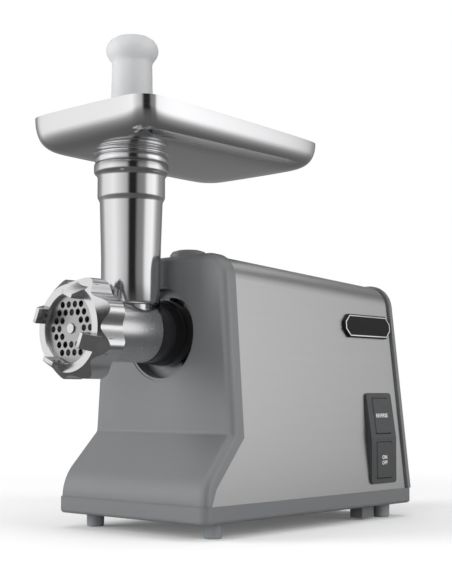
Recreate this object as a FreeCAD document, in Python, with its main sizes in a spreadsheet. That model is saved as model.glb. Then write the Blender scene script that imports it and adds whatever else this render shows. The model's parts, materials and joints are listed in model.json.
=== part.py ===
import FreeCAD, Part
import math
import os
import re

import Sketcher
from FreeCAD import Placement, Rotation, Vector

# Electric meat grinder. Frame: +Z up, -Y is the outlet side, +X the button side, floor at Z = 0.

SIZES = {
    # base and feet
    "base_width": 154.2,
    "base_front": -94.0,
    "base_rear": 162.0,
    "base_floor": 11.2,
    "base_top": 23.5,
    "base_wall": 2.5,
    "base_corner": 6.0,
    "foot_radius": 6.9,
    "foot_x": 61.6,
    "foot_front": -69.0,
    "foot_rear": 138.6,
    "block_front": 103.0,
    "block_length": 16.0,
    "block_width": 12.0,
    "block_drop": 9.7,
    # housing form
    "cover_edge": 0.5,
    "side_lean": 0.0704,
    "cover_wall": 2.5,
    "face_y": -61.0,
    "face_top": 205.4,
    "top_slope": 0.054,
    "top_corner": 20.0,
    "nose_y": -93.1,
    "nose_z": 37.9,
    "nose_round": 34.0,
    "bend_z": 72.9,
    "bend_round": 4.0,
    "face_edge": 6.0,
    "band_y": -48.5,
    "band_bend": 70.0,
    "band_mid_y": -80.5,
    "band_mid_z": 35.5,
    "band_low": -86.2,
    "steel_inset": 1.6,
    "steel_wall": 1.0,
    "steel_back": 8.4,
    "rim_depth": 5.4,
    "rear_lean": 0.0594,
    "lip_inset": 2.7,
    "lip_wall": 2.0,
    "lip_depth": 16.0,
    # socket in the front cover
    "axis_height": 147.1,
    "socket_floor": -49.5,
    "socket_wall": 2.0,
    "groove_front": -45.0,
    "groove_rear": -38.0,
    "lug_angle": 28.0,
    "slot_angle": 36.0,
    # head casting
    "barrel_radius": 22.6,
    "barrel_wall": 3.0,
    "neck_rear": -36.0,
    "wall_front": -66.0,
    "wall_rear": -58.0,
    "mouth_front": -145.8,
    "mouth_rear": -130.0,
    "flare_rear": -121.0,
    "knife_rear": -136.0,
    "collar_front": -80.0,
    "collar_step": -60.0,
    "tube_y": -91.8,
    "tube_low_radius": 21.9,
    "tube_low": 200.0,
    "tube_high_radius": 23.25,
    "tube_high": 242.0,
    "tube_bore": 20.2,
    "band_radius": 25.05,
    "band_start": 246.0,
    "rim_start": 261.5,
    "rim_low": 264.0,
    "rim_radius": 27.8,
    "rim_top": 271.0,
    "rim_bore": 25.2,
    "spigot_deep": 6.5,
    # plate, ring, blade, auger
    "plate_front": -148.4,
    "plate_thick": 5.0,
    "plate_radius": 27.0,
    "hole_pitch": 6.5,
    "hole_radius": 2.35,
    "pin_radius": 3.4,
    "pin_hole": 3.7,
    "pin_front": -149.6,
    "ring_front": -151.9,
    "ring_back": -130.0,
    "lobe_rise": 10.8,
    "valley_rise": 6.2,
    "lobe_front": -143.0,
    "claw_tip": -161.5,
    "claw_width": 9.0,
    "claw_root": 15.0,
    "claw_tip_thick": 2.6,
    "blade_arm": 9.0,
    "blade_thick": 6.4,
    "square_side": 9.0,
    "auger_core": 8.0,
    "flight_gap": 0.5,
    "auger_pitch": 20.0,
    "flight_thick": 4.0,
    "journal_radius": 9.0,
    "bush_radius": 14.0,
    "hex_flat": 11.6,
    "hex_end": -24.0,
    # tray and pusher
    "tray_half": 68.5,
    "tray_front": -138.5,
    "tray_rear": 62.5,
    "tray_rise": 9.0,
    "tray_deep": 27.5,
    "tray_drop": 6.5,
    "tray_spread": 5.0,
    "tray_corner": 21.0,
    "tray_round": 16.0,
    "tray_wall": 1.0,
    "bead_radius": 27.2,
    "bead_tall": 6.5,
    "spigot_radius": 24.9,
    "spigot_bore": 23.6,
    "pusher_low": 178.0,
    "neck_drop": 20.5,
    "pusher_neck_radius": 15.0,
    "pusher_wall": 2.2,
    "pusher_stop": 27.0,
    "knob_radius": 19.65,
    "knob_drop": 13.7,
    "pusher_reach": 97.7,
    # buttons, badge, release
    "bezel_y": 122.5,
    "bezel_z": 65.65,
    "bezel_width": 35.0,
    "bezel_tall": 73.7,
    "bezel_edge": 1.6,
    "bezel_ridge": 4.4,
    "button_width": 20.5,
    "button_near": 3.5,
    "button_far": 32.5,
    "button_proud": 0.6,
    "button_gap": 0.35,
    "button_travel": 2.5,
    "badge_y": 113.5,
    "badge_z": 157.0,
    "badge_length": 64.0,
    "badge_tall": 19.0,
    "badge_thick": 2.6,
    "badge_cut": 6.0,
    "release_y": -30.0,
    "release_radius": 14.5,
    "release_top": 213.0,
    "release_stem": 4.0,
    "stem_low": 182.0,
    # gearbox
    "gear_front": -22.0,
    "gear_plate": 4.0,
    "gear_rear": 18.0,
    "gear_half": 52.0,
    "gear_top": 182.0,
    "post_radius": 4.0,
    "shaft_radius": 11.0,
    "nose_radius": 13.0,
    "nose_front": -46.0,
    "nose_rear": -33.0,
    "shaft_rear": 26.0,
    "output_module": 1.5,
    "output_teeth": 55,
    "mid_teeth": 11,
    "wheel_module": 0.8,
    "wheel_teeth": 70,
    "motor_teeth": 10,
    "mid_x": -30.0,
    "mid_pin": 3.0,
    "tooth_angle": 25.0,
    "backlash": 0.24,
    # motor
    "motor_shaft": 4.0,
    "pinion_shaft": 2.3,
    "stator_half": 38.0,
    "stator_rise": 32.0,
    "stator_front": 50.0,
    "stator_rear": 95.0,
    "rotor_radius": 20.3,
    "stator_bore": 21.0,
    "bracket_thick": 3.0,
    "bracket_front": 40.0,
    "bracket_rear": 122.0,
    "bracket_half": 44.0,
    "stud_radius": 2.5,
    "stud_x": 33.0,
    "stud_rise": 27.0,
    "fan_radius": 28.0,
    "commutator_radius": 11.0,
    "bearing_radius": 9.0,
    "cord_x": -40.0,
    "cord_z": 60.0,
    "gland_radius": 8.0,
    "gland_bore": 4.2,
    # vents
    "vent_length": 66.0,
    "vent_wide": 3.2,
    "vent_pitch": 8.0,
    "vent_low": 118.0,
    "vent_front": 47.0,
}

doc = FreeCAD.newDocument("meat_grinder")
sheet = doc.addObject("Spreadsheet::Sheet", "dims")
for row, (alias, value) in enumerate(SIZES.items(), 1):
    sheet.set(f"A{row}", alias)
    sheet.set(f"B{row}", str(value))
    sheet.setAlias(f"B{row}", alias)
doc.recompute()


DERIVED = {
    "cover_half": "(base_width / 2 - cover_edge)",
    "rim_front": "(base_rear - rim_depth)",
    "steel_rear": "(base_rear - steel_back)",
    "lip_front": "(base_rear - lip_depth)",
    "barrel_bore": "(barrel_radius - barrel_wall)",
    "neck_radius": "(barrel_radius - 1)",
    "neck_bore": "(barrel_radius - 4.6)",
    "collar_radius": "(barrel_radius + 2)",
    "sleeve_bore": "(barrel_radius - 0.4)",
    "sleeve_radius": "(barrel_radius + 6)",
    "groove_radius": "(barrel_radius + 4.9)",
    "lug_radius": "(barrel_radius + 4.4)",
    "socket_radius": "(barrel_radius + 13.4)",
    "mouth_radius": "(plate_radius + 3)",
    "knife_bore": "(plate_radius - 2.5)",
    "blade_radius": "(plate_radius - 4)",
    "ring_aperture": "(plate_radius - 2.5)",
    "ring_bore": "(plate_radius + 3.3)",
    "ring_radius": "(plate_radius + 7)",
    "lobe_reach": "(plate_radius + lobe_rise)",
    "pusher_low_radius": "(tube_bore - 1.7)",
    "rim_seat": "(rim_top - spigot_deep)",
    "bead_top": "(rim_top + bead_tall)",
    "tray_floor": "(rim_top + tray_rise)",
    "tray_rim": "(rim_top + tray_rise + tray_deep)",
    "pusher_top": "(rim_top + pusher_reach)",
    "knob_low": "(rim_top + pusher_reach - knob_drop)",
    "pusher_neck": "(rim_top + pusher_reach - neck_drop)",
}


def ex(text):
    """Write out the derived sizes of a formula, and turn the others into references to the sheet."""
    spelled = re.sub(r"[a-z_]+", lambda word: DERIVED.get(word.group(), word.group()), text)
    cells = {alias: "dims." + alias for alias in SIZES}
    return re.sub(r"[a-z_]+", lambda word: cells.get(word.group(), word.group()), spelled)


def size(alias):
    """Read one value of the sheet."""
    return float(sheet.get(alias))


def bind(item, **formulas):
    """Bind properties of an object to formulas of the sheet."""
    for name, text in formulas.items():
        item.setExpression(name.replace("__", "."), ex(text))
    return item


def place(item, x="0", y="0", z="0", turn=None):
    """Bind an object's position, and turn it where asked."""
    if turn is not None:
        item.Placement = Placement(Vector(), turn)
    return bind(item, Placement__Base__x=x, Placement__Base__y=y, Placement__Base__z=z)


TO_REAR = Rotation(Vector(1, 0, 0), -90)
PANEL_ANGLE = math.degrees(math.atan(size("side_lean")))
PANEL_TURN = Rotation(Vector(0, 1, 0), -PANEL_ANGLE)


def rod(label, radius, start, stop, x="0", z="axis_height", angle=None, first=0.0):
    """A cylinder along +Y, or a sector of one."""
    item = doc.addObject("Part::Cylinder", label)
    bind(item, Radius=radius, Height=f"({stop}) - ({start})")
    turn = TO_REAR
    if angle is not None:
        bind(item, Angle=angle)
        turn = TO_REAR * Rotation(Vector(0, 0, 1), first)
    return place(item, x, start, z, turn)


def post(label, radius, low, high, x="0", y="0"):
    """A cylinder along +Z."""
    item = doc.addObject("Part::Cylinder", label)
    bind(item, Radius=radius, Height=f"({high}) - ({low})")
    return place(item, x, y, low)


def hexagon(label, flat, start, stop):
    """A hexagonal bar along +Y on the barrel axis, given by the width over its flats."""
    item = doc.addObject("Part::Prism", label)
    item.Polygon = 6
    bind(item, Circumradius=f"({flat}) / sqrt(3)", Height=f"({stop}) - ({start})")
    return place(item, "0", start, "axis_height", TO_REAR)


def block(label, x, y, z):
    """A box between pairs of formulas along each axis."""
    item = doc.addObject("Part::Box", label)
    bind(item, Length=f"({x[1]}) - ({x[0]})", Width=f"({y[1]}) - ({y[0]})", Height=f"({z[1]}) - ({z[0]})")
    return place(item, x[0], y[0], z[0])


def fuse(label, *shapes):
    """One solid of several."""
    item = doc.addObject("Part::MultiFuse", label)
    item.Shapes = list(shapes)
    return item


def cut(label, base, *tools):
    """A piece less its tools."""
    tool = tools[0] if len(tools) == 1 else fuse(label + "_tools", *tools)
    item = doc.addObject("Part::Cut", label)
    item.Base = base
    item.Tool = tool
    return item


def common(label, first, second):
    """What two shapes share."""
    item = doc.addObject("Part::Common", label)
    item.Base = first
    item.Tool = second
    return item


def group(label, *shapes):
    """Several separate solids under one name."""
    item = doc.addObject("Part::Compound", label)
    item.Links = list(shapes)
    return item


def tube(label, outer, inner, start, stop, x="0", z="axis_height"):
    """A ring along +Y."""
    return cut(label, rod(label + "_outer", outer, start, stop, x, z),
               rod(label + "_inner", inner, f"({start}) - 1", f"({stop}) + 1", x, z))


def body(label, x="0", y="0", z="0", turn=None):
    """An empty body at its place."""
    return place(doc.addObject("PartDesign::Body", label), x, y, z, turn)


def sketch(owner, role, loops=(), circles=()):
    """A sketch on one origin plane whose corners are all bound to the sheet."""
    item = owner.newObject("Sketcher::SketchObject", owner.Name + "_sketch")
    plane = [part for part in owner.Origin.OriginFeatures if part.Role == role][0]
    item.AttachmentSupport = [(plane, "")]
    item.MapMode = "FlatFace"
    for corners in loops:
        count = len(corners)
        first = item.GeometryCount
        ring = [Vector(50 * math.cos(math.tau * k / count), 50 * math.sin(math.tau * k / count), 0)
                for k in range(count)]
        for k in range(count):
            item.addGeometry(Part.LineSegment(ring[k], ring[(k + 1) % count]))
        for k in range(count):
            item.addConstraint(Sketcher.Constraint("Coincident", first + k, 2, first + (k + 1) % count, 1))
        for k, corner in enumerate(corners):
            for kind, text, start in zip(("DistanceX", "DistanceY"), corner, (ring[k].x, ring[k].y)):
                index = item.addConstraint(Sketcher.Constraint(kind, -1, 1, first + k, 1, start))
                item.setExpression(f"Constraints[{index}]", ex(text))
    for x, y, radius in circles:
        index = item.addGeometry(Part.Circle(Vector(1, 1, 0), Vector(0, 0, 1), 1))
        for kind, text in (("DistanceX", x), ("DistanceY", y)):
            number = item.addConstraint(Sketcher.Constraint(kind, -1, 1, index, 3, 1.0))
            item.setExpression(f"Constraints[{number}]", ex(text))
        number = item.addConstraint(Sketcher.Constraint("Radius", index, 1.0))
        item.setExpression(f"Constraints[{number}]", ex(radius))
    return item


def pad(owner, profile, length, symmetric=False, back=False, taper=None):
    """Pad a sketch."""
    item = owner.newObject("PartDesign::Pad", owner.Name + "_pad")
    item.Profile = profile
    item.Midplane = symmetric
    item.Reversed = back
    bind(item, Length=length)
    if taper is not None:
        bind(item, TaperAngle=taper)
    return item


def pocket(owner, profile):
    """Cut a sketch right through, both ways."""
    item = owner.newObject("PartDesign::Pocket", owner.Name + "_pocket")
    item.Profile = profile
    item.Type = "ThroughAll"
    item.Midplane = True
    return item


def revolve(owner, profile, axis):
    """Turn a sketch once round one of its own axes."""
    item = owner.newObject("PartDesign::Revolution", owner.Name + "_revolution")
    item.Profile = profile
    item.ReferenceAxis = (profile, [axis])
    item.Angle = 360
    return item


def rounded(owner, feature, radius, test):
    """Round the edges of a feature that pass a test."""
    doc.recompute()
    names = [f"Edge{k}" for k, edge in enumerate(feature.Shape.Edges, 1) if test(edge)]
    item = owner.newObject("PartDesign::Fillet", owner.Name + "_fillet")
    item.Base = (feature, names)
    bind(item, Radius=radius)
    return item


def hollow(owner, feature, wall, test):
    """Hollow a feature to a wall, leaving out the faces that pass a test."""
    doc.recompute()
    names = [f"Face{k}" for k, face in enumerate(feature.Shape.Faces, 1) if test(outward(face))]
    item = owner.newObject("PartDesign::Thickness", owner.Name + "_thickness")
    item.Base = (feature, names)
    item.Reversed = True
    item.Join = 1
    bind(item, Value=wall)
    return item


def outward(face):
    """Outward normal at the middle of a face."""
    low_u, high_u, low_v, high_v = face.ParameterRange
    return face.normalAt((low_u + high_u) / 2, (low_v + high_v) / 2)


def along(edge):
    """Unit direction of an edge at its start."""
    return edge.tangentAt(edge.FirstParameter)


def middle(edge):
    """Point half way along an edge."""
    return edge.valueAt((edge.FirstParameter + edge.LastParameter) / 2)


def top_at(y, inset):
    """Formula of the housing's top height at a place along Y."""
    return f"face_top - ({inset}) - top_slope * (({y}) - face_y)"


def rear_corner(rear, inset):
    """Formulas of the point where the leaning rear line meets the sloping top."""
    both = "top_slope * rear_lean"
    z = f"(face_top - ({inset}) - top_slope * (({rear}) - face_y) - {both} * base_top) / (1 - {both})"
    return f"({rear}) - rear_lean * ({z} - base_top)", z


def leaning(rear, z):
    """Formula of a rear line's place along Y at a height."""
    return f"({rear}) - rear_lean * (({z}) - base_top)"


def trim_sides(owner, inset):
    """Cut the leaning sides of the housing form."""
    low = "base_top - 1"
    high = "face_top + 20"
    near = f"cover_half - ({inset}) + side_lean"
    far = f"cover_half - ({inset}) - side_lean * ({high} - base_top)"
    right = [(near, low), (far, high), ("base_width", high), ("base_width", low)]
    left = [(f"-({x})", z) for x, z in right]
    return pocket(owner, sketch(owner, "XZ_Plane", [right, left]))


def top_edge(edge):
    """Whether an edge is one of the two long ones on top of the housing form."""
    return abs(along(edge).y) > 0.9 and middle(edge).z > 150 and abs(middle(edge).x) > 30


# Housing

base_form = body("base_form")
base_outline = [("-base_width / 2", "base_front"), ("base_width / 2", "base_front"),
                ("base_width / 2", "base_rear"), ("-base_width / 2", "base_rear")]
base_pad = pad(base_form, sketch(base_form, "XY_Plane", [base_outline]), "base_top - base_floor")
base_round = rounded(base_form, base_pad, "base_corner", lambda edge: abs(along(edge).z) > 0.9)
rounded(base_form, base_round, "base_wall", lambda edge: middle(edge).z < 0.1)
bind(base_form, Placement__Base__z="base_floor")
base_inside = body("base_inside", z="base_floor + base_wall")
inside_x = "(base_width / 2 - base_wall)"
inside_outline = [("-" + inside_x, "base_front + base_wall"), (inside_x, "base_front + base_wall"),
                  (inside_x, "base_rear - base_wall"), ("-" + inside_x, "base_rear - base_wall")]
inside_pad = pad(base_inside, sketch(base_inside, "XY_Plane", [inside_outline]), "base_top - base_floor")
rounded(base_inside, inside_pad, "base_corner - base_wall", lambda edge: abs(along(edge).z) > 0.9)

blocks = []
for side, start in (("right", "foot_x - block_width / 2"), ("left", "-foot_x - block_width / 2")):
    blocks.append(block("base_block_" + side, (start, start + " + block_width"),
                        ("block_front", "block_front + block_length"),
                        ("base_floor - block_drop", "base_floor + base_wall / 2")))
SCREW_PLACES = [(x, y) for x in ("-40", "40") for y in ("gear_front + 10", "bracket_rear - 6")]
screw_holes = [post(f"screw_hole_{k}", "2", "base_floor - 1", "base_top", x, y)
               for k, (x, y) in enumerate(SCREW_PLACES, 1)]
VENTS = 7
vent_x = ("-vent_length / 2", "vent_length / 2")
base_vents = [block(f"base_vent_{k}", vent_x,
                    (f"vent_front + {k} * vent_pitch", f"vent_front + {k} * vent_pitch + vent_wide"),
                    ("base_floor - 1", "base_top")) for k in range(VENTS)]
base_blocks = fuse("base_with_blocks", base_form, *blocks)
base_plate = cut("base_plate", base_blocks, base_inside, *screw_holes, *base_vents)

feet = []
FOOT_PLACES = [(x, y) for x in ("-foot_x", "foot_x") for y in ("foot_front", "foot_rear")]
for number, (x, y) in enumerate(FOOT_PLACES, 1):
    foot = body(f"foot_{number}", x, y)
    outline = [("0", "0"), ("foot_radius - 1", "0"), ("foot_radius - 0.3", "0.7"),
               ("foot_radius", "base_floor"), ("0", "base_floor")]
    revolve(foot, sketch(foot, "XZ_Plane", [outline]), "V_Axis")
    feet.append(foot)
group("feet", *feet)

screws = []
for number, (x, y) in enumerate(SCREW_PLACES, 1):
    head = post(f"screw_head_{number}", "4", "base_floor - 2.2", "base_floor", x, y)
    shank = post(f"screw_shank_{number}", "2", "base_floor - 1", "base_floor + base_wall + 7", x, y)
    screws.append(fuse(f"base_screw_{number}", head, shank))
group("base_screws", *screws)

front_cover = body("front_cover")
front_outline = [("nose_y", "base_top"), ("nose_y", "nose_z"), ("face_y", "bend_z"), ("face_y", "face_top"),
                 ("band_y", top_at("band_y", "0")), ("band_y", "band_bend"), ("band_mid_y", "band_mid_z"),
                 ("band_low", "base_top")]
front_sketch = sketch(front_cover, "YZ_Plane", [front_outline])
front_pad = pad(front_cover, front_sketch, "base_width + 20", symmetric=True)


def at_line(y, z):
    """Test for the edge along X through a point of the front outline."""
    return lambda edge: (abs(along(edge).x) > 0.99
                         and math.hypot(middle(edge).y - size(y), middle(edge).z - size(z)) < 0.05)


front_nose = rounded(front_cover, front_pad, "nose_round", at_line("nose_y", "nose_z"))
front_bend = rounded(front_cover, front_nose, "bend_round", at_line("face_y", "bend_z"))
front_sides = trim_sides(front_cover, "0")
front_top = rounded(front_cover, front_sides, "top_corner", top_edge)
doc.recompute()


def face_border(edge):
    """Whether an edge lies between the cover's front surfaces and its sides or top."""
    normals = [outward(face) for face in front_top.Shape.ancestorsOfType(edge, Part.Face)]
    front = [normal for normal in normals if abs(normal.x) < 0.01 and normal.y < -0.1 and normal.z > -0.5]
    rear = [normal for normal in normals if normal.y > 0.1]
    under = [normal for normal in normals if normal.z < -0.9]
    return len(front) == 1 and not rear and not under


front_edge = rounded(front_cover, front_top, "face_edge", face_border)
hollow(front_cover, front_edge, "cover_wall", lambda normal: normal.y > 0.3 or normal.z < -0.9)
pocket(front_cover, sketch(front_cover, "XZ_Plane", circles=[("0", "axis_height", "socket_radius")]))

steel_form = body("steel_form")
steel_corner = rear_corner("steel_rear", "steel_inset")
steel_outline = [("band_low", "base_top"), ("band_mid_y", "band_mid_z"), ("band_y", "band_bend"),
                 ("band_y", top_at("band_y", "steel_inset")), steel_corner, ("steel_rear", "base_top")]
pad(steel_form, sketch(steel_form, "YZ_Plane", [steel_outline]), "base_width + 20", symmetric=True)
steel_sides = trim_sides(steel_form, "steel_inset")
steel_top = rounded(steel_form, steel_sides, "top_corner - steel_inset", top_edge)
hollow(steel_form, steel_top, "steel_wall",
       lambda normal: normal.y > 0.3 or normal.z < -0.9 or normal.y < -0.3)

PANEL_X = "cover_half - steel_inset - side_lean * (({z}) - base_top)"
bezel_x = PANEL_X.format(z="bezel_z")
bezel_hole = body("bezel_hole", bezel_x, "bezel_y", "bezel_z", PANEL_TURN)
hole_outline = [(f"{y}(bezel_width / 2 - 2)", f"{z}(bezel_tall / 2 - 2)")
                for y, z in (("-", "-"), ("", "-"), ("", ""), ("-", ""))]
pad(bezel_hole, sketch(bezel_hole, "YZ_Plane", [hole_outline]), "10", symmetric=True)
release_hole = post("release_hole", "release_radius + button_gap", "face_top - 30", "face_top + 10",
                    y="release_y")
cut("steel_wrap", steel_form, bezel_hole, release_hole)

rear_rim = body("rear_rim")
rim_outline = [("rim_front", "base_top"), rear_corner("rim_front", "0"), rear_corner("base_rear", "0"),
               ("base_rear", "base_top")]
pad(rear_rim, sketch(rear_rim, "YZ_Plane", [rim_outline]), "base_width + 20", symmetric=True)
rim_sides = trim_sides(rear_rim, "0")
rim_top = rounded(rear_rim, rim_sides, "top_corner", top_edge)
doc.recompute()


def rim_border(edge):
    """Whether an edge bounds the rear face, the floor edge left out."""
    normals = [outward(face) for face in rim_top.Shape.ancestorsOfType(edge, Part.Face)]
    rear = [normal for normal in normals if normal.y > 0.9]
    under = [normal for normal in normals if normal.z < -0.9]
    return len(rear) == 1 and not under


rounded(rear_rim, rim_top, "2.2", rim_border)
rear_lip = body("rear_lip")
lip_outline = [("lip_front", "base_top"), rear_corner("lip_front", "lip_inset"),
               rear_corner("rim_front", "lip_inset"), ("rim_front", "base_top")]
pad(rear_lip, sketch(rear_lip, "YZ_Plane", [lip_outline]), "base_width + 20", symmetric=True)
lip_sides = trim_sides(rear_lip, "lip_inset")
lip_top = rounded(rear_lip, lip_sides, "top_corner - lip_inset", top_edge)
hollow(rear_lip, lip_top, "lip_wall", lambda normal: abs(normal.y) > 0.3 or normal.z < -0.9)
gland_hole = rod("gland_hole", "gland_radius", "lip_front", "base_rear + 5", "cord_x", "cord_z")
rear_vents = [block(f"rear_vent_{k}", vent_x, ("base_rear - 30", "base_rear + 1"),
                    (f"vent_low + {k} * vent_pitch", f"vent_low + {k} * vent_pitch + vent_wide"))
              for k in range(VENTS)]
cut("rear_cover", fuse("rear_form", rear_rim, rear_lip), gland_hole, *rear_vents)
tube("cord_gland", "gland_radius", "gland_bore", leaning("rim_front", "cord_z") + " - 6", "base_rear - 0.4",
     "cord_x", "cord_z")

# Socket ring with its bayonet groove

socket_form = body("socket_form", z="axis_height")
socket_outline = [("face_y + 0.6", "socket_radius - socket_wall"), ("face_y + 0.6", "socket_radius - 0.1"),
                  ("socket_floor + 2.5", "socket_radius - 0.1"), ("socket_floor + 2.5", "sleeve_radius"),
                  ("gear_front", "sleeve_radius"), ("gear_front", "sleeve_bore"),
                  ("groove_rear", "sleeve_bore"), ("groove_rear", "groove_radius"),
                  ("groove_front", "groove_radius"), ("groove_front", "sleeve_bore"),
                  ("socket_floor", "sleeve_bore"), ("socket_floor", "socket_radius - socket_wall")]
revolve(socket_form, sketch(socket_form, "YZ_Plane", [socket_outline]), "H_Axis")
slots = [rod(f"entry_slot_{k}", "groove_radius", "socket_floor - 1", "groove_front + 1",
             angle="slot_angle", first=120.0 * k + 45 - size("slot_angle") / 2) for k in range(3)]
cut("socket_ring", socket_form, *slots)

# Head casting

barrel_form = body("barrel_form", z="axis_height")
barrel_outline = [("mouth_front", "0"), ("mouth_front", "mouth_radius"), ("mouth_rear", "mouth_radius"),
                  ("flare_rear", "barrel_radius"), ("collar_front", "barrel_radius"),
                  ("collar_front", "neck_radius"), ("neck_rear", "neck_radius"), ("neck_rear", "0")]
revolve(barrel_form, sketch(barrel_form, "YZ_Plane", [barrel_outline]), "H_Axis")
tube_form = body("tube_form", y="tube_y")
tube_outline = [("0", "axis_height"), ("tube_low_radius", "axis_height"), ("tube_low_radius", "tube_low"),
                ("tube_high_radius", "tube_high"), ("band_radius", "band_start"), ("band_radius", "rim_start"),
                ("rim_radius", "rim_low"), ("rim_radius", "rim_top"), ("0", "rim_top")]
revolve(tube_form, sketch(tube_form, "XZ_Plane", [tube_outline]), "V_Axis")
lugs = [rod(f"bayonet_lug_{k}", "lug_radius", "groove_front + 0.3", "groove_rear - 0.3",
            angle="lug_angle", first=120.0 * k - size("lug_angle") / 2) for k in range(3)]
bore_form = body("bore_form", z="axis_height")
plate_back = "plate_front + plate_thick"
bore_outline = [("mouth_front - 1", "0"), ("mouth_front - 1", "plate_radius + 0.3"),
                (plate_back, "plate_radius + 0.3"), (plate_back, "knife_bore"), ("knife_rear", "knife_bore"),
                ("knife_rear", "barrel_bore"), ("wall_front", "barrel_bore"), ("wall_front", "bush_radius"),
                ("wall_rear", "bush_radius"), ("wall_rear", "neck_bore"), ("neck_rear + 1", "neck_bore"),
                ("neck_rear + 1", "0")]
revolve(bore_form, sketch(bore_form, "YZ_Plane", [bore_outline]), "H_Axis")
throat_form = body("throat_form", y="tube_y")
throat_outline = [("0", "axis_height"), ("tube_bore - 1", "axis_height"), ("tube_bore", "tube_high"),
                  ("tube_bore + 2", "rim_seat - 8"), ("rim_bore - 2", "rim_seat"), ("rim_bore", "rim_seat"),
                  ("rim_bore", "rim_top + 1"), ("0", "rim_top + 1")]
revolve(throat_form, sketch(throat_form, "XZ_Plane", [throat_outline]), "V_Axis")
cut("head_casting", fuse("head_form", barrel_form, tube_form, *lugs), bore_form, throat_form)

collar_form = body("collar_form", z="axis_height")
collar_outline = [("collar_front", "neck_radius + 0.05"), ("collar_front", "barrel_radius - 0.2"),
                  ("collar_front + 0.6", "barrel_radius + 0.4"), ("collar_step", "collar_radius - 0.2"),
                  ("collar_step", "collar_radius + 0.6"), ("socket_floor - 0.5", "collar_radius + 0.6"),
                  ("socket_floor - 0.5", "neck_radius + 0.05")]
revolve(collar_form, sketch(collar_form, "YZ_Plane", [collar_outline]), "H_Axis")
collar_notch = post("collar_notch", "tube_low_radius + 0.3", "axis_height", "tube_low", y="tube_y")
cut("barrel_collar", collar_form, collar_notch)
tube("auger_bush", "bush_radius", "journal_radius + 0.06", "wall_front", "wall_rear + 2")

# Cutting plate: a hexagonal field of holes round the pin hole

HOLE_ROWS = 3
plate_form = body("cutting_plate", z="axis_height")
hole_places = []
for row in range(-HOLE_ROWS, HOLE_ROWS + 1):
    for step in range(-HOLE_ROWS - min(row, 0), HOLE_ROWS - max(row, 0) + 1):
        if max(abs(row), abs(step), abs(row + step)) > 1:
            across = f"hole_pitch * {step + row / 2}"
            hole_places.append((across, f"hole_pitch * {row} * sqrt(3) / 2", "hole_radius"))
plate_pad = pad(plate_form, sketch(plate_form, "XZ_Plane", circles=[("0", "0", "plate_radius")]), "plate_thick",
                back=True)
bind(plate_form, Placement__Base__y="plate_front")
pocket(plate_form, sketch(plate_form, "XZ_Plane", circles=hole_places + [("0", "0", "pin_hole")]))

# Screw ring: a threaded skirt, a lip, eight lobes and four claws

skirt_form = body("skirt_form", z="axis_height")
lip_back = "plate_front - 0.1"
skirt_outline = [("ring_front", "ring_aperture + 0.6"), ("ring_front", "ring_radius - 1.5"),
                 ("ring_front + 1.5", "ring_radius"), ("ring_back - 1", "ring_radius"),
                 ("ring_back", "ring_radius - 1"), ("ring_back", "ring_bore"), (lip_back, "ring_bore"),
                 (lip_back, "ring_aperture"), ("ring_front + 0.6", "ring_aperture")]
revolve(skirt_form, sketch(skirt_form, "YZ_Plane", [skirt_outline]), "H_Axis")
LOBES = 8
CLAW_EVERY = 2
FIRST_LOBE = math.radians(22.5)
STEPS = 8
doc.recompute()
wave = []
for number in range(LOBES * STEPS):
    angle = math.tau * number / LOBES / STEPS
    swing = (1 + math.cos(LOBES * angle)) / 2
    reach = size("plate_radius") + size("valley_rise") + (size("lobe_rise") - size("valley_rise")) * swing
    wave.append(Vector(reach * math.cos(angle + FIRST_LOBE), 0, reach * math.sin(angle + FIRST_LOBE)))
wave_line = Part.BSplineCurve()
wave_line.interpolate(wave, PeriodicFlag=True)
flutes = doc.addObject("Part::Feature", "flutes")
ring_length = size("ring_back") - size("ring_front")
flutes.Shape = Part.Face(Part.Wire(wave_line.toShape())).extrude(Vector(0, ring_length, 0))
flutes.Placement = Placement(Vector(0, size("ring_front"), size("axis_height")), Rotation())
crown = body("crown", z="axis_height")
crown_outline = [("ring_front", "0"), ("ring_front", "ring_radius - 2"),
                 ("ring_front + 0.7", "ring_radius - 1.2"), ("lobe_front", "lobe_reach + 0.2"),
                 ("ring_back - 1.4", "lobe_reach + 0.2"), ("ring_back", "lobe_reach - 1.2"), ("ring_back", "0")]
revolve(crown, sketch(crown, "YZ_Plane", [crown_outline]), "H_Axis")
lobes = common("lobes", flutes, crown)
lobe_bore = rod("lobe_bore", "ring_bore", "ring_front - 1", "ring_back + 1")
ring_parts = [cut("lobe_ring", lobes, lobe_bore), skirt_form]
claw_side = [("lobe_reach - 0.2", "lobe_front + 2"), ("ring_bore + 1", "lobe_front + 2"),
             ("ring_bore + 1", "ring_front + 2"), ("ring_aperture", "ring_front + 2"),
             ("ring_aperture", "claw_tip"), ("ring_aperture + claw_tip_thick", "claw_tip"),
             ("lobe_reach - 0.2", "lobe_front")]
claw_plan = [("ring_aperture - 1", "-claw_width / 2"), ("ring_radius", "-claw_width / 2 - 0.8"),
             ("lobe_reach + 1", "-claw_root / 2"), ("lobe_reach + 1", "claw_root / 2"),
             ("ring_radius", "claw_width / 2 + 0.8"), ("ring_aperture - 1", "claw_width / 2")]
for number in range(1, LOBES, CLAW_EVERY):
    turn = Rotation(Vector(0, 1, 0), -math.degrees(FIRST_LOBE) - 360.0 / LOBES * number)
    side = body(f"claw_side_{number}", z="axis_height", turn=turn)
    pad(side, sketch(side, "XY_Plane", [claw_side]), "claw_root + 2", symmetric=True)
    plan = body(f"claw_plan_{number}", y="claw_tip", z="axis_height", turn=turn)
    pad(plan, sketch(plan, "XZ_Plane", [claw_plan]), "lobe_front + 2 - claw_tip", back=True)
    ring_parts.append(common(f"claw_{number}", side, plan))
cut("screw_ring", fuse("ring_form", *ring_parts),
    rod("ring_keepout", "ring_bore", lip_back, "ring_back + 1"))

# Auger with its flight, and the blade

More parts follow.
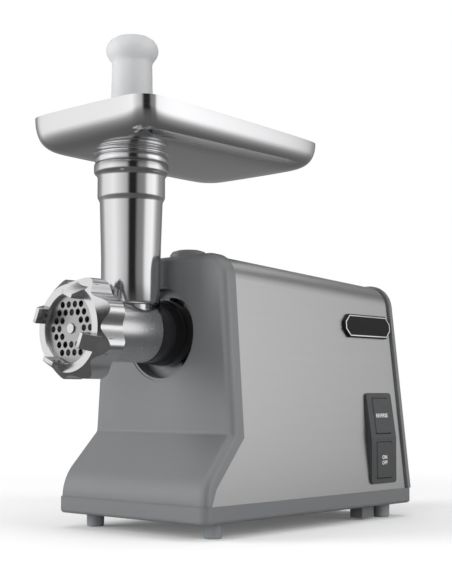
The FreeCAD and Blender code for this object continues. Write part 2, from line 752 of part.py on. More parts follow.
flight_front = "knife_rear + 1"
flight_rear = "wall_front - 2"
core = rod("auger_shaft", "auger_core", plate_back + " + blade_thick", "wall_front - 1")
journal = rod("auger_journal", "journal_radius", "wall_front - 2", "wall_rear + 2")
square = block("auger_square", ("-square_side / 2", "square_side / 2"),
               (plate_back, plate_back + " + blade_thick + 1"),
               ("axis_height - square_side / 2", "axis_height + square_side / 2"))
pin = rod("auger_pin", "pin_radius", "pin_front", plate_back + " + 1")
shank = hexagon("auger_shank", "hex_flat", "wall_rear + 1", "hex_end")
doc.recompute()
front = size("knife_rear") + 1
length = size("wall_front") - 2 - front
spine = Part.makeHelix(size("auger_pitch"), length - size("flight_thick"), size("auger_core"))
root = size("flight_thick") / 2
deep = size("auger_core") - 1.5
crest = size("barrel_radius") - size("barrel_wall") - size("flight_gap")
section = Part.makePolygon([Vector(deep, 0, -root), Vector(crest, 0, -root / 2), Vector(crest, 0, root / 2),
                            Vector(deep, 0, root), Vector(deep, 0, -root)])
sweep = Part.Wire(spine).makePipeShell([section], True, True)
flight = doc.addObject("Part::Feature", "auger_flight")
flight.Shape = sweep
flight.Placement = Placement(Vector(0, front + root, size("axis_height")), TO_REAR)
fuse("auger", core, journal, square, pin, shank, flight)

arms = []
blade_span = (plate_back, plate_back + " + blade_thick - 0.1")
blade_halves = (("across", "blade_radius", "blade_arm / 2"), ("upright", "blade_arm / 2", "blade_radius"))
for name, wide, tall in blade_halves:
    arms.append(block("blade_" + name, (f"-({wide})", wide), blade_span,
                      (f"axis_height - ({tall})", f"axis_height + {tall}")))
blade_cross = fuse("blade_cross", rod("blade_hub", "10", *blade_span), *arms)
blade_form = common("blade_form", blade_cross, rod("blade_reach", "blade_radius", *blade_span))
blade_hole = block("blade_hole", ("-square_side / 2 - 0.05", "square_side / 2 + 0.05"),
                   (plate_back + " - 1", plate_back + " + blade_thick + 1"),
                   ("axis_height - square_side / 2 - 0.05", "axis_height + square_side / 2 + 0.05"))
cut("cutting_blade", blade_form, blade_hole)

# Tray and pusher


def pan(label, inset):
    """The tray's form, drawn in all round by an inset."""
    owner = body(label, y="tube_y", z=f"tray_floor + {inset}")
    reach = f"(tray_spread + {inset})"
    outline = [(f"{x}(tray_half - {reach})", y) for x, y in
               (("-", f"tray_front - tube_y + {reach}"), ("", f"tray_front - tube_y + {reach}"),
                ("", f"tray_rear - tube_y - {reach}"), ("-", f"tray_rear - tube_y - {reach}"))]
    form = pad(owner, sketch(owner, "XY_Plane", [outline]), "tray_rim - tray_floor + 1",
               taper="atan(tray_spread / (tray_rim - tray_floor))")
    corners = rounded(owner, form, f"tray_corner - {inset}", lambda edge: abs(along(edge).z) > 0.9)
    rounded(owner, corners, f"tray_round - {inset}", lambda edge: middle(edge).z < 0.1)
    return owner


tray_outer = pan("tray_outer", "0")
slope_outline = [("tray_front - tube_y - 9", "tray_rim - tray_floor"),
                 ("tray_rear - tube_y + 9", "tray_rim - tray_floor - tray_drop"),
                 ("tray_rear - tube_y + 9", "tray_rim - tray_floor + 9"),
                 ("tray_front - tube_y - 9", "tray_rim - tray_floor + 9")]
pocket(tray_outer, sketch(tray_outer, "YZ_Plane", [slope_outline]))
tray_form = cut("tray_form", tray_outer, pan("tray_inner", "tray_wall"))
neck_form = body("neck_form", y="tube_y")
neck_outline = [("spigot_bore", "rim_seat + 0.3"), ("spigot_radius", "rim_seat + 0.3"),
                ("spigot_radius", "rim_top + 0.1"), ("bead_radius - 1.4", "rim_top + 0.1"),
                ("bead_radius - 0.4", "rim_top + 0.8"), ("bead_radius", "rim_top + bead_tall / 2"),
                ("bead_radius - 0.4", "bead_top - 0.9"), ("bead_radius - 1.4", "bead_top"),
                ("bead_radius + 0.6", "bead_top + 0.9"), ("bead_radius + 4", "tray_floor + tray_wall / 2"),
                ("spigot_bore", "tray_floor + tray_wall / 2")]
revolve(neck_form, sketch(neck_form, "XZ_Plane", [neck_outline]), "V_Axis")
cut("feed_tray", fuse("tray_with_neck", tray_form, neck_form),
    post("tray_hole", "spigot_bore", "tray_floor - 1", "tray_floor + 3", y="tube_y"))



def near_ring(edge, radius, height):
    """Whether an edge is a ring of a radius at a height."""
    ring = edge.Curve if isinstance(edge.Curve, Part.Circle) else None
    return ring is not None and abs(ring.Radius - radius) < 0.05 and abs(middle(edge).z - height) < 0.05


pusher = body("pusher", y="tube_y")
taper = "(pusher_low_radius - pusher_neck_radius) / (pusher_neck - pusher_low)"
stop = "tray_floor + tray_wall"


def stem(z):
    """Formula of the pusher stem's radius at a height."""
    return f"pusher_low_radius - {taper} * (({z}) - pusher_low)"


pusher_outline = [("pusher_low_radius - pusher_wall", "pusher_low"), ("pusher_low_radius", "pusher_low"),
                  (stem(stop), stop), ("pusher_stop", stop), ("pusher_stop", stop + " + 2.5"),
                  (stem(stop + " + 2.5"), stop + " + 2.5"), ("pusher_neck_radius", "pusher_neck"),
                  ("knob_radius", "knob_low"), ("knob_radius", "pusher_top"), ("0", "pusher_top"),
                  ("0", "pusher_neck - 4"), ("pusher_neck_radius - pusher_wall", "pusher_neck - 4")]
pusher_turn = revolve(pusher, sketch(pusher, "XZ_Plane", [pusher_outline]), "V_Axis")
crown_edge = rounded(pusher, pusher_turn, "8.5",
                     lambda edge: near_ring(edge, size("knob_radius"), size("rim_top") + size("pusher_reach")))
knob_edge = rounded(pusher, crown_edge, "5", lambda edge: near_ring(
    edge, size("knob_radius"), size("rim_top") + size("pusher_reach") - size("knob_drop")))
rounded(pusher, knob_edge, "8", lambda edge: near_ring(
    edge, size("pusher_neck_radius"), size("rim_top") + size("pusher_reach") - size("neck_drop")))

# Buttons, bezel, badge and release button

FACET = "(bezel_ridge - (bezel_ridge - bezel_edge) * ({z}) / (bezel_tall / 2))"
bezel = body("button_bezel", bezel_x, "bezel_y", "bezel_z", PANEL_TURN)
bezel_outline = [("0", "-bezel_tall / 2"), ("bezel_edge", "-bezel_tall / 2"), ("bezel_ridge", "0"),
                 ("bezel_edge", "bezel_tall / 2"), ("0", "bezel_tall / 2")]
bezel_pad = pad(bezel, sketch(bezel, "XZ_Plane", [bezel_outline]), "bezel_width", symmetric=True)
bezel_round = rounded(bezel, bezel_pad, "3", lambda edge: abs(along(edge).x) > 0.99)
openings = [[(f"{y}(button_width / 2 + button_gap)", f"{sign}({z})")
             for y, z in (("-", "button_near - button_gap"), ("", "button_near - button_gap"),
                          ("", "button_far + button_gap"), ("-", "button_far + button_gap"))]
            for sign in ("", "-")]
pocket(bezel, sketch(bezel, "YZ_Plane", openings))
for label, sign in (("reverse_button", ""), ("on_off_button", "-")):
    button = body(label, bezel_x, "bezel_y", "bezel_z", PANEL_TURN)
    outline = [("-2", f"{sign}(button_near)"),
               (FACET.format(z="button_near") + " + button_proud", f"{sign}(button_near)"),
               (FACET.format(z="button_far") + " + button_proud", f"{sign}(button_far)"),
               ("-2", f"{sign}(button_far)")]
    button_pad = pad(button, sketch(button, "XZ_Plane", [outline]), "button_width", symmetric=True)
    button_side = rounded(button, button_pad, "1.5", lambda edge: abs(along(edge).x) > 0.99)
    rounded(button, button_side, "0.8",
            lambda edge: middle(edge).x > size("bezel_edge") and abs(along(edge).x) < 0.9)
for label, sign in (("reverse_switch", ""), ("on_off_switch", "-")):
    switch = body(label, bezel_x, "bezel_y", "bezel_z", PANEL_TURN)
    ear = "bezel_width / 2 - 1.8"
    wide = "bezel_width / 2 + 1"
    back = "-(button_travel + 2.5)"
    half = [("-24", "9"), ("-9", "9"), ("-9", wide), ("-steel_wall", wide), ("-steel_wall", ear), (back, ear)]
    outline = [(x, f"-({y})") for x, y in half] + half[::-1]
    switch_pad = pad(switch, sketch(switch, "XY_Plane", [outline]), "24", back=sign == "-")
    switch.setExpression("Placement.Base.z", ex(f"bezel_z + {sign}5"))
    switch.setExpression("Placement.Base.x", ex(bezel_x + f" - ({sign}5) * side_lean"))

badge = body("badge_plate", PANEL_X.format(z="badge_z"), "badge_y", "badge_z", PANEL_TURN)
badge_outline = [(f"{y}(badge_length / 2{cut_y})", f"{z}(badge_tall / 2{cut_z})") for y, z, cut_y, cut_z in
                 (("-", "-", "", " - badge_cut"), ("-", "-", " - badge_cut", ""), ("", "-", " - badge_cut", ""),
                  ("", "-", "", " - badge_cut"), ("", "", "", " - badge_cut"), ("", "", " - badge_cut", ""),
                  ("-", "", " - badge_cut", ""), ("-", "", "", " - badge_cut"))]
badge_pad = pad(badge, sketch(badge, "YZ_Plane", [badge_outline]), "badge_thick")
badge_round = rounded(badge, badge_pad, "1.5", lambda edge: abs(along(edge).x) > 0.99)
rounded(badge, badge_round, "0.8", lambda edge: middle(edge).x > size("badge_thick") - 0.01)

release = body("release_button", y="release_y")
release_outline = [("0", "stem_low"), ("release_stem", "stem_low"), ("release_stem", "release_top - 15"),
                   ("release_radius", "release_top - 15"), ("release_radius", "release_top - 4"),
                   ("release_radius - 2", "release_top - 1.6"), ("release_radius - 6", "release_top - 0.4"),
                   ("0", "release_top")]
revolve(release, sketch(release, "XZ_Plane", [release_outline]), "V_Axis")
guide = cut("release_guide", post("guide_outer", "release_stem + 3", "axis_height + sleeve_radius - 2",
                                  "release_top - 20", y="release_y"),
            post("guide_bore", "release_stem + 0.06", "axis_height", "release_top", y="release_y"),
            rod("guide_saddle", "sleeve_radius", "gear_front - 30", "gear_front"))

# Gearbox


def gear(label, module, teeth, start, stop, x, z, bore, phase):
    """A spur gear along Y with involute flanks and stub teeth, thinned by half the backlash."""
    pitch = module * teeth / 2
    root = pitch - module
    tip = pitch + 0.8 * module
    grip = math.radians(size("tooth_angle"))
    base = pitch * math.cos(grip)
    half = math.pi / (2 * teeth) - size("backlash") / 2 / pitch / 2
    roll = math.tan(grip) - grip
    radii = [max(root, base), (max(root, base) + pitch) / 2, pitch, (pitch + tip) / 2, tip]
    flank = []
    for radius in radii:
        lean = math.acos(min(1.0, base / radius))
        flank.append((radius, half + roll - (math.tan(lean) - lean)))
    if root < base:
        flank.insert(0, (root, flank[0][1]))
    corners = []
    for number in range(teeth):
        middle_angle = phase + math.tau * number / teeth
        for radius, offset in flank:
            corners.append((radius, middle_angle - offset))
        for radius, offset in reversed(flank):
            corners.append((radius, middle_angle + offset))
    points = [Vector(r * math.cos(a), 0, r * math.sin(a)) for r, a in corners]
    outline = Part.Wire(Part.makePolygon(points + points[:1]))
    hole = Part.Wire(Part.makeCircle(bore, Vector(), Vector(0, 1, 0)))
    item = doc.addObject("Part::Feature", label)
    item.Shape = Part.Face([outline, hole], "Part::FaceMakerBullseye").extrude(Vector(0, stop - start, 0))
    item.Placement = Placement(Vector(x, start, z), Rotation())
    return item


axis_z = size("axis_height")
mid_x = size("mid_x")
mid_reach = size("output_module") * (size("output_teeth") + size("mid_teeth")) / 2
mid_z = axis_z - math.sqrt(mid_reach ** 2 - mid_x ** 2)
motor_reach = size("wheel_module") * (size("wheel_teeth") + size("motor_teeth")) / 2
motor_z = mid_z - math.sqrt(motor_reach ** 2 - mid_x ** 2)
MID_Z = "axis_height - sqrt((output_module * (output_teeth + mid_teeth) / 2)^2 - mid_x^2)"
MOTOR_Z = f"{MID_Z} - sqrt((wheel_module * (wheel_teeth + motor_teeth) / 2)^2 - mid_x^2)"
gear_y = size("gear_front") + size("gear_plate")
to_mid = math.atan2(mid_z - axis_z, mid_x)
to_motor = math.atan2(motor_z - mid_z, -mid_x)
output_teeth = int(size("output_teeth"))
mid_teeth = int(size("mid_teeth"))
wheel_teeth = int(size("wheel_teeth"))
motor_teeth = int(size("motor_teeth"))
gear("output_gear", size("output_module"), output_teeth, gear_y + 4, gear_y + 18, 0, axis_z,
     size("shaft_radius"), to_mid)
gear("mid_pinion", size("output_module"), mid_teeth, gear_y + 3, gear_y + 22, mid_x, mid_z,
     size("mid_pin") + 0.05, to_mid + math.pi + math.pi / mid_teeth)
gear("mid_gear", size("wheel_module"), wheel_teeth, gear_y + 22, gear_y + 30, mid_x, mid_z,
     size("mid_pin") + 0.05, to_motor)
gear("motor_pinion", size("wheel_module"), motor_teeth, gear_y + 21, gear_y + 32, 0, motor_z,
     size("pinion_shaft"), to_motor + math.pi + math.pi / motor_teeth)

gear_back = "gear_front + gear_plate"
rear_face = "gear_rear + gear_plate"
PLATE_Z = ("base_floor + base_wall", "gear_top")
front_feet = [block(f"gear_foot_{k}", (f"{x} - 10", f"{x} + 10"), (gear_back, gear_back + " + 12"),
                    (PLATE_Z[0], PLATE_Z[0] + " + 8")) for k, x in enumerate(("-40", "40"), 1)]
front_sheet = block("gear_sheet_front", ("-gear_half", "gear_half"), ("gear_front", gear_back), PLATE_Z)
cut("gear_plate_front", fuse("gear_front_form", front_sheet, *front_feet),
    rod("front_bush_hole", "shaft_radius + 4", "gear_front - 1", gear_back + " + 1"), *screw_holes[::2])
rear_sheet = block("gear_sheet_rear", ("-gear_half", "gear_half"), ("gear_rear", rear_face), PLATE_Z)
cut("gear_plate_rear", rear_sheet,
    rod("rear_bush_hole", "shaft_radius + 4", "gear_rear - 1", rear_face + " + 1"),
    rod("motor_shaft_hole", "motor_shaft + 2", "gear_rear - 1", rear_face + " + 1", z=MOTOR_Z))
group("gearbox_posts", *[rod(f"gearbox_post_{k}", "post_radius", gear_back, "gear_rear", x, z)
                         for k, (x, z) in enumerate([(x, z) for x in ("-gear_half + 6", "gear_half - 6")
                                                     for z in ("base_top + 7", "gear_top - 6")], 1)])
bearing_wall = ("shaft_radius + 4", "shaft_radius + 0.05")
group("output_bearings",
      tube("output_bearing_front", *bearing_wall, "gear_front - 2", gear_back + " + 2"),
      tube("output_bearing_rear", *bearing_wall, "gear_rear - 2", rear_face + " + 2"))
rod("mid_shaft", "mid_pin", gear_back, "gear_rear", "mid_x", MID_Z)
cut("output_shaft", fuse("output_form", rod("output_nose", "nose_radius", "nose_front", "nose_rear"),
                         rod("output_journal", "shaft_radius", "nose_rear - 1", "shaft_rear")),
    hexagon("output_socket", "hex_flat + 0.3", "nose_front - 1", "hex_end + 1"))

# Motor

fuse("rotor_shaft", rod("rotor_journal", "motor_shaft", "gear_rear - 4", "bracket_rear + 10", z=MOTOR_Z),
     rod("rotor_tail", "pinion_shaft", gear_back + " + 20", "gear_rear - 3", z=MOTOR_Z))
tube("rotor_core", "rotor_radius", "motor_shaft", "stator_front + 1", "stator_rear - 1", z=MOTOR_Z)
tube("commutator", "commutator_radius", "motor_shaft", "stator_rear + 9", "stator_rear + 21", z=MOTOR_Z)

BLADES = 9
fan_start = "gear_rear + gear_plate + 5"
fan_parts = [rod("fan_disc", "fan_radius", fan_start, fan_start + " + 2", z=MOTOR_Z),
             rod("fan_hub", "motor_shaft + 4", fan_start, fan_start + " + 10", z=MOTOR_Z)]
for number in range(BLADES):
    vane = body(f"fan_vane_{number}", y=fan_start + " + 1", z=MOTOR_Z,
                turn=Rotation(Vector(0, 1, 0), 360.0 / BLADES * number))
    outline = [("motor_shaft + 3", "-0.7"), ("fan_radius - 1", "-0.7"), ("fan_radius - 1", "0.7"),
               ("motor_shaft + 3", "0.7")]
    pad(vane, sketch(vane, "XZ_Plane", [outline]), "8", back=True)
    fan_parts.append(vane)
cut("cooling_fan", fuse("fan_form", *fan_parts),
    rod("fan_bore", "motor_shaft", fan_start + " - 1", fan_start + " + 12", z=MOTOR_Z))

coils = [block(f"field_coil_{k}", ("-22", "22"), ("stator_front - 5", "stator_rear + 5"),
               (f"{MOTOR_Z} + {low}", f"{MOTOR_Z} + {low} + 7"))
         for k, low in enumerate(("(stator_bore + 1.5)", "(-stator_bore - 8.5)"), 1)]
group("field_coils", *coils)
stud_end = "bracket_rear + bracket_thick + 5"
studs = [rod(f"motor_stud_{k}", "stud_radius", rear_face, stud_end, x, f"{MOTOR_Z} + {z}")
         for k, (x, z) in enumerate([(x, z) for x in ("-stud_x", "stud_x")
                                     for z in ("stud_rise", "(-stud_rise)")], 1)]
group("motor_studs", *studs)
cut("motor_stator", block("stator_block", ("-stator_half", "stator_half"), ("stator_front", "stator_rear"),
                          (f"{MOTOR_Z} - stator_rise", f"{MOTOR_Z} + stator_rise")),
    rod("stator_hole", "stator_bore", "stator_front - 1", "stator_rear + 1", z=MOTOR_Z), *coils, *studs)
bearings = []
for label, start in (("motor_front_bracket", "bracket_front"), ("motor_rear_bracket", "bracket_rear")):
    stop_y = f"{start} + bracket_thick"
    sheet_form = block(label + "_sheet", ("-bracket_half", "bracket_half"), (start, stop_y),
                       ("base_floor + base_wall", f"{MOTOR_Z} + stator_rise + 4"))
    bearing = rod(label + "_bearing_form", "bearing_radius", f"{start} - 1", f"{stop_y} + 2", z=MOTOR_Z)
    bearings.append(cut(label + "_bearing", bearing,
                        rod(label + "_bearing_bore", "motor_shaft + 0.04", f"{start} - 2", f"{stop_y} + 3",
                            z=MOTOR_Z)))
    shape = sheet_form
    tools = [bearing] + studs
    if start == "bracket_rear":
        rear_feet = [block(f"bracket_foot_{k}", (f"{x} - 4", f"{x} + 4"), (f"{start} - 12", start),
                           (PLATE_Z[0], PLATE_Z[0] + " + 8")) for k, x in enumerate(("-40", "40"), 1)]
        shape = fuse(label + "_form", sheet_form, *rear_feet)
        tools += screw_holes[1::2]
    cut(label, shape, *tools)
group("motor_bearings", *bearings)

holders = []
brushes = []
for number, sign in enumerate(("", "-"), 1):
    ends = ["commutator_radius + 1", "commutator_radius + 19"]
    inside = ["commutator_radius + 0.2", "commutator_radius + 16"]
    if sign:
        ends = [f"-({text})" for text in reversed(ends)]
        inside = [f"-({text})" for text in reversed(inside)]
    brush = block(f"carbon_brush_{number}", inside, ("stator_rear + 12", "stator_rear + 18"),
                  (f"{MOTOR_Z} - 3", f"{MOTOR_Z} + 3"))
    holders.append(cut(f"brush_holder_{number}",
                       block(f"holder_form_{number}", ends, ("stator_rear + 10", "bracket_rear"),
                             (f"{MOTOR_Z} - 5", f"{MOTOR_Z} + 5")), brush))
    brushes.append(brush)
group("brush_holders", *holders)
group("carbon_brushes", *brushes)

NODES = [
    "base_plate", "feet", "base_screws", "front_cover", "steel_wrap", "rear_cover", "cord_gland", "socket_ring",
    "button_bezel", "badge_plate", "reverse_button", "on_off_button", "reverse_switch", "on_off_switch",
    "release_button", "release_guide", "head_casting", "barrel_collar", "auger_bush", "cutting_plate",
    "screw_ring", "auger", "cutting_blade", "feed_tray", "pusher", "gear_plate_front", "gear_plate_rear",
    "gearbox_posts", "output_bearings", "output_shaft", "output_gear", "mid_shaft", "mid_gear", "mid_pinion",
    "motor_pinion", "rotor_shaft", "rotor_core", "commutator", "cooling_fan", "field_coils", "motor_stator",
    "motor_studs", "motor_front_bracket", "motor_rear_bracket", "motor_bearings", "brush_holders",
    "carbon_brushes",
]

doc.recompute()
os.makedirs("parts", exist_ok=True)
for item in doc.Objects:
    if "Invalid" in item.State or "Error" in item.State:
        raise RuntimeError(f"{item.Label} did not build: {item.State}")
for label in NODES:
    shape = doc.getObjectsByLabel(label)[0].Shape
    if shape.isNull() or not shape.isValid():
        raise RuntimeError(f"{label} has no valid shape")
    shape.exportStep(f"parts/{label}.step")
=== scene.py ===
"""Looks of an electric meat grinder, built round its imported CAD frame."""

import json
import logging
import math
from dataclasses import dataclass
from enum import Enum
from typing import Callable, Optional, Sequence, Union

import bmesh
import bpy
from mathutils import Matrix, Vector


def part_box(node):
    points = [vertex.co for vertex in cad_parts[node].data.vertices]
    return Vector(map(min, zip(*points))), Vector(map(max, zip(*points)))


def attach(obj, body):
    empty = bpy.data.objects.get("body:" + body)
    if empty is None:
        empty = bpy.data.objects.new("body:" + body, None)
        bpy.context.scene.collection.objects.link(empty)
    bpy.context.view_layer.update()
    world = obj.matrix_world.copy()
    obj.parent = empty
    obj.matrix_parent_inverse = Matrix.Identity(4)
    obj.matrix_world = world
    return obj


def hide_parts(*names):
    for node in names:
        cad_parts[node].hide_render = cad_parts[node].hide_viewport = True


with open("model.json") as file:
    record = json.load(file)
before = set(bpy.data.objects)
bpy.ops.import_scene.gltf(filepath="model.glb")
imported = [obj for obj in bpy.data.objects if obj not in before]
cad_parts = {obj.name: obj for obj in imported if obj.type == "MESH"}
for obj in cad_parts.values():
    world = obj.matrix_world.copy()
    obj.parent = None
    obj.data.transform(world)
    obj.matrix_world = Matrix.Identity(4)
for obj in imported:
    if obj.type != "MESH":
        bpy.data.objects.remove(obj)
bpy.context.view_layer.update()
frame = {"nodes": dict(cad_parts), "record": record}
LOG = logging.getLogger("meat_grinder")

Point = tuple[float, float]
Triple = tuple[float, float, float]
Colour = Triple
Tint = tuple[float, float, float, float]
Profile = Sequence[Point]
Output = Union[int, str]
Test = Callable[[Vector], bool]

# Lengths in the classes of the grinder's pieces are in millimetres, and Blender's are in metres.
MM = 0.001
BARREL_AXIS = Vector((0.0, 0.0, 147.1 * MM))
TUBE_AXIS = Vector((0.0, -91.8 * MM, 0.0))

# Vertices nearer than MERGE are one, and a vertex within TOUCH of a plane lies on it.
MERGE = 0.01 * MM
TOUCH = 0.1 * MM

# A round piece has SIDES corners, a small edge is rounded in FINE_STEPS steps, and faces that meet at
# less than SMOOTH_ANGLE are shaded as one.
SIDES = 96
FINE_STEPS = 2
SMOOTH_ANGLE = math.radians(35.0)

FULL_TURN = 360.0
WHITE = (1.0, 1.0, 1.0, 1.0)


class Fade(Enum):
    """How a change from one level to another runs."""

    STRAIGHT = "LINEAR"
    SOFT = "SMOOTHSTEP"


class Wire:
    """A node's output that takes part in Python arithmetic."""

    def __init__(self, bench: "Bench", socket: Optional[bpy.types.NodeSocket]) -> None:
        """Keep the output and the bench that it belongs to."""
        self.bench = bench
        self.socket = socket

    def other(self, output: Output) -> "Wire":
        """Another output of the same node."""
        return Wire(self.bench, self.socket.node.outputs[output])

    def _math(self, operation: str, first: object, second: object) -> "Wire":
        """Add one Math node.

        Args:
            operation: name of the operation.
            first: left side, a wire or a number.
            second: right side, a wire or a number.

        Returns:
            The wire that carries the result.
        """
        return self.bench.node("ShaderNodeMath", {"operation": operation}, {0: first, 1: second})

    def __add__(self, other: object) -> "Wire":
        """Sum."""
        return self._math("ADD", self, other)

    def __radd__(self, other: object) -> "Wire":
        """Sum, the other way round."""
        return self._math("ADD", other, self)

    def __sub__(self, other: object) -> "Wire":
        """Difference."""
        return self._math("SUBTRACT", self, other)

    def __rsub__(self, other: object) -> "Wire":
        """Difference, the other way round."""
        return self._math("SUBTRACT", other, self)

    def __mul__(self, other: object) -> "Wire":
        """Product."""
        return self._math("MULTIPLY", self, other)

    def __rmul__(self, other: object) -> "Wire":
        """Product, the other way round."""
        return self._math("MULTIPLY", other, self)


class Bench:
    """A node tree under construction."""

    def __init__(self, owner: Union[bpy.types.Material, bpy.types.World]) -> None:
        """Start with an empty tree.

        Args:
            owner: the material or world whose nodes are made.
        """
        owner.use_nodes = True
        self.tree = owner.node_tree
        self.tree.nodes.clear()

    def node(self, kind: str, settings: Optional[dict] = None, inputs: Optional[dict] = None,
             output: Output = 0) -> Wire:
        """Add any node.

        Args:
            kind: the node's type.
            settings: properties, or a ramp's stops under the key "stops".
            inputs: values or wires by socket name or number.
            output: which output to hand back.

        Returns:
            The wire of that output.
        """
        item = self.tree.nodes.new(kind)
        for name, value in (settings or {}).items():
            if name == "stops":
                self._stops(item.color_ramp, value)
            else:
                setattr(item, name, value)
        for key, value in (inputs or {}).items():
            if isinstance(value, Wire):
                self.tree.links.new(value.socket, item.inputs[key])
            else:
                item.inputs[key].default_value = value
        return Wire(self, item.outputs[output] if len(item.outputs) else None)

    @staticmethod
    def _stops(ramp: bpy.types.ColorRamp, stops: Sequence[tuple[float, Colour]]) -> None:
        """Set a ramp's stops.

        Args:
            ramp: the ramp.
            stops: place and colour of each stop, in order.
        """
        while len(ramp.elements) < len(stops):
            ramp.elements.new(1.0)
        for element, (place, colour) in zip(ramp.elements, stops):
            element.position = place
            element.color = (*colour, 1.0)

    def place(self) -> Wire:
        """The Object coordinates."""
        return self.node("ShaderNodeTexCoord", output="Object")

    def length(self, vector: Wire) -> Wire:
        """The length of a vector."""
        return self.node("ShaderNodeVectorMath", {"operation": "LENGTH"}, {0: vector}, "Value")

    def grain(self, stretch: Triple, detail: float = 3.0) -> Wire:
        """Noise on Object coordinates, drawn out along one axis.

        Args:
            stretch: noise cells per metre along each axis.
            detail: octaves of the noise.

        Returns:
            The wire of the noise, from 0 to 1.
        """
        scaled = self.node("ShaderNodeMapping", {}, {"Vector": self.place(), "Scale": stretch})
        return self.node("ShaderNodeTexNoise", {}, {"Vector": scaled, "Scale": 1.0, "Detail": detail}, "Fac")

    def fade(self, value: Wire, span: Point, levels: Point = (0.0, 1.0), kind: Fade = Fade.STRAIGHT) -> Wire:
        """Go from one level to another while a value crosses a span.

        Args:
            value: the value.
            span: where the change begins and ends.
            levels: the level before the span and after it.
            kind: how the change runs.

        Returns:
            The wire of the level.
        """
        return self.node("ShaderNodeMapRange", {"interpolation_type": kind.value},
                         {"Value": value, "From Min": span[0], "From Max": span[1],
                          "To Min": levels[0], "To Max": levels[1]})

    def mix(self, share: Wire, first: Union[Wire, Tint], second: Union[Wire, Tint]) -> Wire:
        """Mix two colours, through the colour sockets of a Mix node.

        Args:
            share: how much of the second colour there is, from 0 to 1.
            first: the colour at 0.
            second: the colour at 1.

        Returns:
            The wire of the mixed colour.
        """
        return self.node("ShaderNodeMix", {"data_type": "RGBA"}, {0: share, 6: first, 7: second}, 2)


@dataclass(frozen=True)
class Finish:
    """One surface finish, with a fine grain in its colour, its gloss and its relief.

    The stretch gives the grain's cells per metre along each axis, and the relief is in millimetres.
    """

    name: str
    colour: Colour
    rough: float
    metal: float = 0.0
    specular: float = 0.5
    coat: float = 0.0
    coat_rough: float = 0.08
    stretch: Triple = (900.0, 900.0, 900.0)
    rough_spread: float = 0.06
    colour_spread: float = 0.04
    relief: float = 0.02
    relief_strength: float = 0.5

    def material(self) -> bpy.types.Material:
        """Build the material.

        Returns:
            The finished material.
        """
        made = bpy.data.materials.new(self.name)
        bench = Bench(made)
        noise = self._pattern(bench)
        inputs = {
            "Base Color": self._shade(bench, noise),
            "Roughness": self._roughness(bench, noise),
            "Metallic": self.metal,
            "Specular IOR Level": self.specular,
            "Coat Weight": self.coat,
            "Coat Roughness": self.coat_rough,
        }
        if self.relief > 0:
            inputs["Normal"] = bench.node("ShaderNodeBump", {}, {
                "Height": noise, "Strength": self.relief_strength, "Distance": self.relief * MM})
        surface = bench.node("ShaderNodeBsdfPrincipled", {}, inputs)
        bench.node("ShaderNodeOutputMaterial", {}, {"Surface": surface})
        return made

    def _pattern(self, bench: Bench) -> Wire:
        """The grain of the surface, from 0 to 1."""
        return bench.grain(self.stretch)

    def _roughness(self, bench: Bench, noise: Wire) -> Wire:
        """Gloss that follows the grain."""
        return noise * self.rough_spread + (self.rough - self.rough_spread / 2)

    def _shade(self, bench: Bench, noise: Wire) -> Union[Wire, Tint]:
        """Colour that follows the grain, or one colour where it has no spread.

        Args:
            bench: the material's bench.
            noise: the grain of the surface.

        Returns:
            The wire of the colour, or the one colour.
        """
        if not self.colour_spread:
            return self._tone(1.0)
        return bench.mix(noise, self._tone(1.0 - self.colour_spread), self._tone(1.0 + self.colour_spread))

    def _tone(self, factor: float) -> Tint:
        """The colour made lighter or darker, never above white."""
        return (*(min(1.0, part * factor) for part in self.colour), 1.0)


@dataclass(frozen=True)
class BrushedFinish(Finish):
    """Sheet metal with long fine streaks and broad soft ones."""

    broad: Triple = (160.0, 4.0, 160.0)
    broad_detail: float = 1.0
    broad_share: float = 0.35

    def _pattern(self, bench: Bench) -> Wire:
        """Fine and broad streaks together, from 0 to 1."""
        return (bench.grain(self.stretch) * (1.0 - self.broad_share)
                + bench.grain(self.broad, self.broad_detail) * self.broad_share)


@dataclass(frozen=True)
class CastFinish(Finish):
    """Polished metal that turns satin within a reach of the barrel's axis."""

    satin: float = 0.27
    reach: float = 23.0
    blend: float = 0.6

    def _roughness(self, bench: Bench, noise: Wire) -> Wire:
        """Gloss of the tube above and of the barrel below.

        Args:
            bench: the material's bench.
            noise: the grain of the surface.

        Returns:
            The wire of the roughness.
        """
        across = bench.node("ShaderNodeMapping", {}, {
            "Vector": bench.place(), "Location": (0.0, 0.0, -BARREL_AXIS.z), "Scale": (1.0, 0.0, 1.0)})
        span = (self.reach * MM, (self.reach + self.blend) * MM)
        polished = bench.fade(bench.length(across), span, kind=Fade.SOFT)
        return super()._roughness(bench, noise) + (1.0 - polished) * (self.satin - self.rough)


